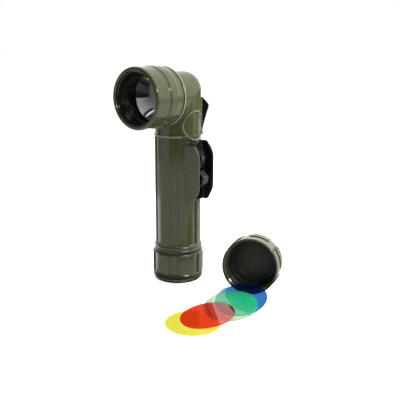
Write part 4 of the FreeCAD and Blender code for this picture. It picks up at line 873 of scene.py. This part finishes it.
tube = {
    "shell": [(18.0, 13.0, 0.2), (19.25, 13.0, 0.3), (19.25, 29.5, 0.1), (22.3, 29.5, 0.3),
              (22.85, 30.1, 0.3), (22.85, 31.3, 0.5), (22.0, 32.0, 0.5), (22.4, 33.2, 0.4),
              (22.4, 34.6, 1.1), (20.4, 36.5, 0.7), (20.4, 136.4, 0.3), (21.9, 136.5, 0.4),
              (21.95, 138.3, 0.45), (19.4, 138.36, 0.2), (19.4, 132.4, 0), (18.0, 132.4, 0)],
    "lands": (7, -33.5),
    "land": {"inner": 20.0, "outer": 21.45, "low": 35.0, "high": 136.7, "angle": 28.5, "soft": 0.3},
    "threads": [(19.25, 14.0, 5, 2.0, 0.5)],
    "wing": [(17.9, 78.4), (27.2, 78.4), (33.8, 90.4), (33.8, 122.2), (29.1, 130.3), (17.9, 130.3)],
    "wingInner": 9.9, "wingOuter": 12.0, "wingTaper": 1.4, "wingReach": 15.2, "wingSoft": 0.45,
    "wingBend": 2.6,
    "seat": ((18.0, -10.4, 78.4), (21.6, 10.4, 133.2), 0.4),
    # painted highlight, a paler colour on the top bead, the wings' rounded edges and the sides of the lands
    "highlightShare": 0.4, "bead": (136.6, 21.5, 16.5), "wingEdge": (23.5, 0.15, 0.9),
    "landHighlightShare": 0.2, "landSide": (20.5, 21.4), "landHeights": (36.0, 136.0), "landFront": 17.5,
}


def wingPlate(side):
    outer = tube["wingOuter"]
    bm = plate(tube["wing"], tube["wingInner"], outer, tube["wingBend"])
    for vert in bm.verts:
        if vert.co.y > outer - making["weld"]:
            vert.co.y -= tube["wingTaper"] * (vert.co.x - tube["wing"][0][0]) / tube["wingReach"]
    softEdges(bm, tube["wingSoft"])
    if side < 0:
        stretchAll(bm, (1, -1, 1))
        faceOut(bm)
    return bm


# Painted highlight on the top bead, the wings' rounded edges and the sides of the lands
def tubeEdge(centre, normal):
    radius = math.hypot(centre.x, centre.y)
    low, inner, front = tube["bead"]
    bead = centre.z > low and radius > inner and centre.x < front
    start, least, most = tube["wingEdge"]
    wing = centre.x > start and least < abs(normal.y) < most
    inner, outer = tube["landSide"]
    low, high = tube["landHeights"]
    landSide = inner < radius < outer and low < centre.z < high and centre.x < tube["landFront"]
    return tube["highlightShare"] if bead or wing else tube["landHighlightShare"] * landSide


wholeTube = ribbed(tube, (wingPlate(1), wingPlate(-1), block(*tube["seat"])))
markFaces(keep("batteryTube", wholeTube, "olive_plastic", "battery_tube"), "paintedEdgeHighlight", tubeEdge)

# Battery cap, and the filter cap that lies beside it

baseCap = {
    "shell": [(0, 0.5, 0), (15.0, 0.5, 0.2), (15.6, 0, 0.2), (21.6, 0, 0.5), (22.2, 0.6, 0.2),
              (21.2, 1.2, 0.2), (21.2, 6.8, 0.2), (23.6, 7.0, 0.25), (24.1, 7.5, 0.25), (23.0, 9.2, 0.3),
              (23.0, 27.3, 0.6), (22.3, 27.95, 0.3), (19.8, 28.0, 0.2), (19.8, 2.6, 0.2), (0, 2.6, 0)],
    "lands": (7, -33.5),
    "land": {"inner": 22.4, "outer": 24.2, "low": 8.3, "high": 27.4, "angle": 30, "soft": 0.4, "slope": 0.5},
    "threads": [(22.0, 0.9, 2.6, 2.0, 1.3), (19.8, 15.0, 4, 2.0, -0.4)],
}
keep("batteryCap", ribbed(baseCap), "olive_plastic", "battery_cap", body="cap_drum")
looseCap = {
    "shell": [(0, 0, 0), (23.7, 0, 0.7), (24.9, 1.2, 0.4), (25.05, 25.2, 0.4), (24.4, 26.0, 0.3),
              (23.7, 26.0, 0.3), (23.3, 25.3, 0.2), (23.3, 15.0, 0.15), (21.9, 15.0, 0.2),
              (21.5, 14.6, 0.2), (21.5, 2.4, 0.9), (16.0, 2.4, 0.2), (15.6, 2.1, 0.2), (0, 2.1, 0)],
    "lands": (6, -12),
    "land": {"inner": 24.2, "outer": 25.8, "low": 1.2, "high": 13.0, "angle": 42, "soft": 0.4, "slope": 0.3},
    "threads": [(23.3, 17.4, 2.8, 2.0, -0.6)],
    "heading": -67.7, "lean": 7.0, "length": 26.0, "mouth": (83.43, -1.46), "rest": 1.9,
    "litStart": 13.0, "litReach": 5.0, "litRadius": 24.0,
}


def looseCapPlace():
    lean = math.radians(looseCap["lean"])
    rise = looseCap["land"]["outer"] * math.cos(lean) - looseCap["rest"] * math.sin(lean)
    back = looseCap["length"] * math.cos(lean)
    spot = Matrix.Translation((*looseCap["mouth"], 0)) @ turn(looseCap["heading"], "Z")
    return spot @ Matrix.Translation((-back, 0, rise)) @ turn(90 - looseCap["lean"], "Y")


capPlace = looseCapPlace()
intoCap = capPlace.inverted()


def mouthLight(centre, normal):
    # Light falls on the wall just inside the mouth
    spot = intoCap @ centre
    share = (spot.z - looseCap["litStart"]) / looseCap["litReach"]
    return min(1.0, max(0.0, share)) * (math.hypot(spot.x, spot.y) < looseCap["litRadius"])


looseDrum = keep("filterCap", ribbed(looseCap), "olive_plastic", "filter_cap", body="spare_cap",
                 place=capPlace)
markFaces(looseDrum, "litWall", mouthLight)
print("tube and caps made")

# Side boss: a round plate wrapped on the casing

boss = {
    "radius": 13.5, "casing": 21.0, "centre": 147.0, "sink": 1.2, "around": 120,
    "highlightShare": 0.4, "highlightRing": (0.1, 0.85),   # the raised ring's painted highlight, between these distances in
    # rise above the casing at each distance in from the edge
    "profile": [(0.0, 0.1), (0.1, 0.7), (0.25, 1.1), (0.45, 1.25), (0.65, 1.1), (0.85, 0.7), (1.1, 0.4)]
               + [(distance, 0.3) for distance in (1.6, 3.5, 5.5, 7.5, 9.5, 11.0, 12.2, 13.0)],
}


def sideBoss():
    bm = bmesh.new()
    bmesh.ops.create_circle(bm, cap_ends=True, segments=boss["around"], radius=boss["radius"])
    for before, after in zip(boss["profile"], boss["profile"][1:]):
        middle = [face for face in bm.faces if len(face.verts) > 4]
        bmesh.ops.inset_region(bm, faces=middle, thickness=after[0] - before[0], use_boundary=True,
                               use_even_offset=True)
    for vert in bm.verts:
        across, along = vert.co.x, vert.co.y
        inward = boss["radius"] - math.hypot(across, along)
        rise = min(boss["profile"], key=lambda step: abs(step[0] - inward))[1]
        out = math.sqrt((boss["casing"] + rise) ** 2 - across ** 2)
        vert.co = Vector((out, across, boss["centre"] + along))
    skirt = [edge for edge in bm.edges if len(edge.link_faces) == 1]
    under = bmesh.ops.extrude_edge_only(bm, edges=skirt)
    movePart(bm, under, (-boss["sink"], 0, 0))
    rim = [item for item in under["geom"] if isinstance(item, bmesh.types.BMEdge)]
    bmesh.ops.holes_fill(bm, edges=rim, sides=0)
    faceOut(bm)
    return bm


# Painted highlight on the boss's raised ring
def bossEdge(centre, normal):
    low, high = boss["highlightRing"]
    return boss["highlightShare"] * (low < boss["radius"] - math.hypot(centre.y, centre.z - boss["centre"]) < high)


markFaces(keep("sideBoss", sideBoss(), "olive_plastic", "side_boss"), "paintedEdgeHighlight", bossEdge)

# The casing's flange: a rounded rim laid over the frame's own

flange = {
    "outline": [(24.0, -20.65, 0.1), (25.7, -20.7, 0.3), (26.25, -20.1, 0.5), (26.2, -18.6, 0.7),
                (24.2, -18.2, 0.3), (22.8, -18.0, 0.1)],
    "highlightShare": 0.4, "highlightRadius": 25.9,
}


# Painted highlight on the flange's outer rim
def flangeEdge(centre, normal):
    return flange["highlightShare"] * (fromHeadAxis(centre).length > flange["highlightRadius"])


rim = turned(flange["outline"], bezel["around"], bezel["steps"])
markFaces(keep("casingFlange", rim, "olive_plastic", place=headTurn), "paintedEdgeHighlight", flangeEdge)

# Colour filters, each where its own node lies


def nodeTurn(node):
    mesh = nodes[node].data
    widest = max(mesh.polygons, key=lambda face: face.area)
    normal = widest.normal.copy()
    if normal.z < 0:
        normal.negate()
    low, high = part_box(node)
    lie = normal.to_track_quat("Z", "Y").to_matrix().to_4x4()
    return Matrix.Translation((low + high) / 2 / mm) @ lie


filters = {"outline": [(0, -0.5, 0), (22.6, -0.5, 0.22), (22.6, 0.5, 0.22), (0, 0.5, 0)],
           "colours": ("yellow", "green", "blue", "red")}
for colour in filters["colours"]:
    node = "filter_" + colour
    keep(colour + "Filter", turned(filters["outline"]), colour + "_filter", node, body=colour + "_disc",
         place=nodeTurn(node))
print("filters made")

# Switch: frame, slider, button, ring and screws

switch = {
    "buttonHeight": 118.0,
    "button": [(0, 24.6, 0), (2.4, 24.6, 0.2), (2.4, 25.2, 0.1), (3.8, 25.2, 0.1), (3.8, 26.3, 0.1),
               (3.0, 26.3, 0.1), (3.0, 29.7, 0.3), (2.2, 30.6, 0.3), (0, 31.0, 0)],
    "knob": [(23.9, 91.0), (26.9, 91.0), (31.9, 95.4), (33.45, 101.2), (27.3, 106.6), (23.9, 106.6)],
    "knobHalf": 4.0, "knobBend": 0.7, "knobSoft": 0.35,
    "foot": ((22.45, -6.6, 95.5), (23.9, 6.6, 106.6), 0.25),
    "ridgeCount": 4, "ridgeSize": (0.75, 7.1, 0.75), "ridgeSoft": 0.15, "ridgeLift": 0.12,
    "ridgeTurn": 41, "ridgeStart": 0.7, "ridgeEnd": 0.4,
    "screwHeights": (84.2, 131.1),
    "screw": [(0, 21.9, 0), (1.0, 21.9, 0), (1.0, 22.4, 0), (1.9, 22.4, 0.1), (1.9, 23.0, 0.3),
              (1.2, 23.5, 0.3), (0, 23.6, 0)],
    "slotHalf": 0.25, "slotDepth": 0.5, "slotStart": 23.05, "slotTurn": 35, "slotFacing": 0.3,
    "buttonAround": 64, "screwAround": 40, "frameSoft": 0.22, "guideSoft": 0.2,
    # radius, wire, sides, turns and steps in a turn, as in "coil"
    "ring": (1.9, 0.4, 16, 1, 48), "ringPlace": (26.2, 0, 128.4), "ringFoot": 2.2,
    "spring": {"low": 22.5, "high": 25.1, "coil": (3.1, 0.3, 10, 3, 40)},
}
softCopy("switchFrame", "switch_frame", "black_plastic", switch["frameSoft"])
softCopy("buttonGuide", "button_guide", "black_plastic", switch["guideSoft"])
buttonPlace = placed(switch["buttonHeight"], outward)
keep("signalButton", turned(switch["button"], switch["buttonAround"]), "button_plastic", "signal_button",
     body="push_button", place=buttonPlace)


def sliderKnob():
    half = switch["knobHalf"]
    body = plate(switch["knob"], -half, half, switch["knobBend"])
    softEdges(body, switch["knobSoft"])
    parts = [body, block(*switch["foot"])]
    # Ridges along the sloping top, from its crest to the back
    crest, back = [Vector((across, 0, along)) for across, along in switch["knob"][3:5]]
    corner = Vector(switch["ridgeSize"]) / 2
    lift = Vector((switch["ridgeLift"], 0, switch["ridgeLift"]))
    for order in range(switch["ridgeCount"]):
        share = (order + switch["ridgeStart"]) / (switch["ridgeCount"] + switch["ridgeEnd"])
        spot = Matrix.Translation(crest.lerp(back, share) + lift) @ turn(switch["ridgeTurn"], "Y")
        parts.append((block(-corner, corner, switch["ridgeSoft"]), spot))
    return gather(parts)


def slottedScrew(height):
    bm = turned(switch["screw"], switch["screwAround"])
    half = switch["slotHalf"]
    for side in (-half, half):
        bmesh.ops.bisect_plane(bm, geom=bm.verts[:] + bm.edges[:] + bm.faces[:], plane_co=(0, side, 0),
                               plane_no=(0, 1, 0))
    crown = []
    for face in bm.faces:
        centre = face.calc_center_median()
        if abs(centre.y) < half and centre.z > switch["slotStart"] and face.normal.z > switch["slotFacing"]:
            crown.append(face)
    sunk = bmesh.ops.extrude_face_region(bm, geom=crown)
    bmesh.ops.delete(bm, geom=crown, context="FACES")
    movePart(bm, sunk, (0, 0, -switch["slotDepth"]))
    faceOut(bm)
    return bm, placed(height, outward) @ turn(switch["slotTurn"], "Z")


def wireRing():
    radius, wire, sides, *steps = switch["ring"]
    reach = switch["ringFoot"]
    foot = bmesh.new()
    bmesh.ops.create_cone(foot, cap_ends=True, segments=sides, radius1=wire, radius2=wire, depth=reach)
    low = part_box("frame_ring")[0].x / mm
    return gather([(wound(*switch["ring"]), Matrix.Translation(switch["ringPlace"]) @ turn(90, "X")),
                   (foot, Matrix.Translation((low + reach / 2, 0, switch["ringPlace"][2])) @ outward)])


keep("switchKnob", sliderKnob(), "knob_plastic", "switch_slider", body="thumb_switch")
screws = gather([slottedScrew(height) for height in switch["screwHeights"]])
keep("frameScrews", screws, "plated_steel", "frame_screws")
keep("frameRing", wireRing(), "plated_steel", "frame_ring")
spring = switch["spring"]
wire = spring["coil"][1]
windings = wound(*spring["coil"], spring["high"] - spring["low"] - 2 * wire, spring["low"] + wire)
returnSpring = keep("buttonSpring", windings, "spring_steel", "button_spring", place=buttonPlace)
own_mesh(returnSpring)
print("switch made")

# Belt clip, bent from one strip, and its rivets

clip = {
    "path": [(22.05, 142.0, 0), (22.05, 168.6, 0.6), (22.75, 169.75, 0.5), (23.9, 169.5, 0.5),
             (32.1, 163.1, 1.2), (32.75, 161.6, 0.8), (32.4, 160.0, 1.2), (27.6, 151.0, 6.0),
             (23.85, 141.2, 1.5), (23.3, 139.2, 1.0), (23.6, 137.4, 1.0), (24.7, 135.4, 0)],
    "half": 10.0, "thickness": 0.9, "cornerCut": 2.0, "soft": 0.2, "sharper": 50.0, "bendSteps": 6,
    "rivetHeights": (148.0, 157.0), "rivetAround": 40,
    "rivet": [(0, 21.8, 0), (1.58, 21.8, 0), (1.58, 22.5, 0), (2.8, 22.5, 0.15), (2.4, 23.2, 0.4),
              (1.3, 23.6, 0.3), (0, 23.6, 0)],
}


def clipStrip():
    half = clip["half"]
    spots = [(-half, across, along) for across, along, rounding in clip["path"]]
    bm = bentLine(spots, clip["path"], clip["bendSteps"])
    movePart(bm, bmesh.ops.extrude_edge_only(bm, edges=bm.edges[:]), (2 * half, 0, 0))
    for vert in [vert for vert in bm.verts if len(vert.link_edges) == 2]:
        bevelled(bm, [vert], clip["cornerCut"], making["cornerSteps"], "VERTICES")
    faceOut(bm)
    bmesh.ops.solidify(bm, geom=bm.faces[:], thickness=clip["thickness"])
    softEdges(bm, clip["soft"], clip["sharper"], making["fewSteps"])
    faceOut(bm)
    # Its outermost point stands where the frame's clip has its own
    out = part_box("belt_clip")[1].y / mm - max(vert.co.y for vert in bm.verts)
    moveAll(bm, Matrix.Translation((0, out, 0)))
    return bm


keep("beltClip", clipStrip(), "clip_steel", "belt_clip")
rivets = [(turned(clip["rivet"], clip["rivetAround"]), placed(height, backward))
          for height in clip["rivetHeights"]]
keep("clipRivets", gather(rivets), "clip_steel", "clip_rivets")
print("clip made")

# Cells, each with a crimped jacket and a stepped top

cell = {
    "lower": 18.0, "upper": 79.5, "around": 96,
    "outline": [(0, 0.3, 0), (9.0, 0.3, 0.3), (9.6, 0, 0.3), (15.6, 0, 0.3), (16.2, 0.5, 0.2),
                (17.0, 0.5, 0.4), (17.0, 1.6, 0.3), (16.8, 2.2, 0.3), (17.0, 2.8, 0.3), (17.0, 57.4, 0.3),
                (16.8, 58.0, 0.3), (17.0, 58.6, 0.3), (17.0, 59.8, 0.4), (15.8, 59.8, 0.3),
                (15.2, 59.2, 0.3), (8.0, 59.4, 0.4), (4.75, 59.8, 0.3), (4.75, 61.3, 0.5), (0, 61.45, 0)],
}
for name in ("lower", "upper"):
    keep("cell" + name.capitalize(), turned(cell["outline"], cell["around"]), "cell_can",
         "battery_" + name, place=Matrix.Translation((0, 0, cell[name])))
print("cells made")
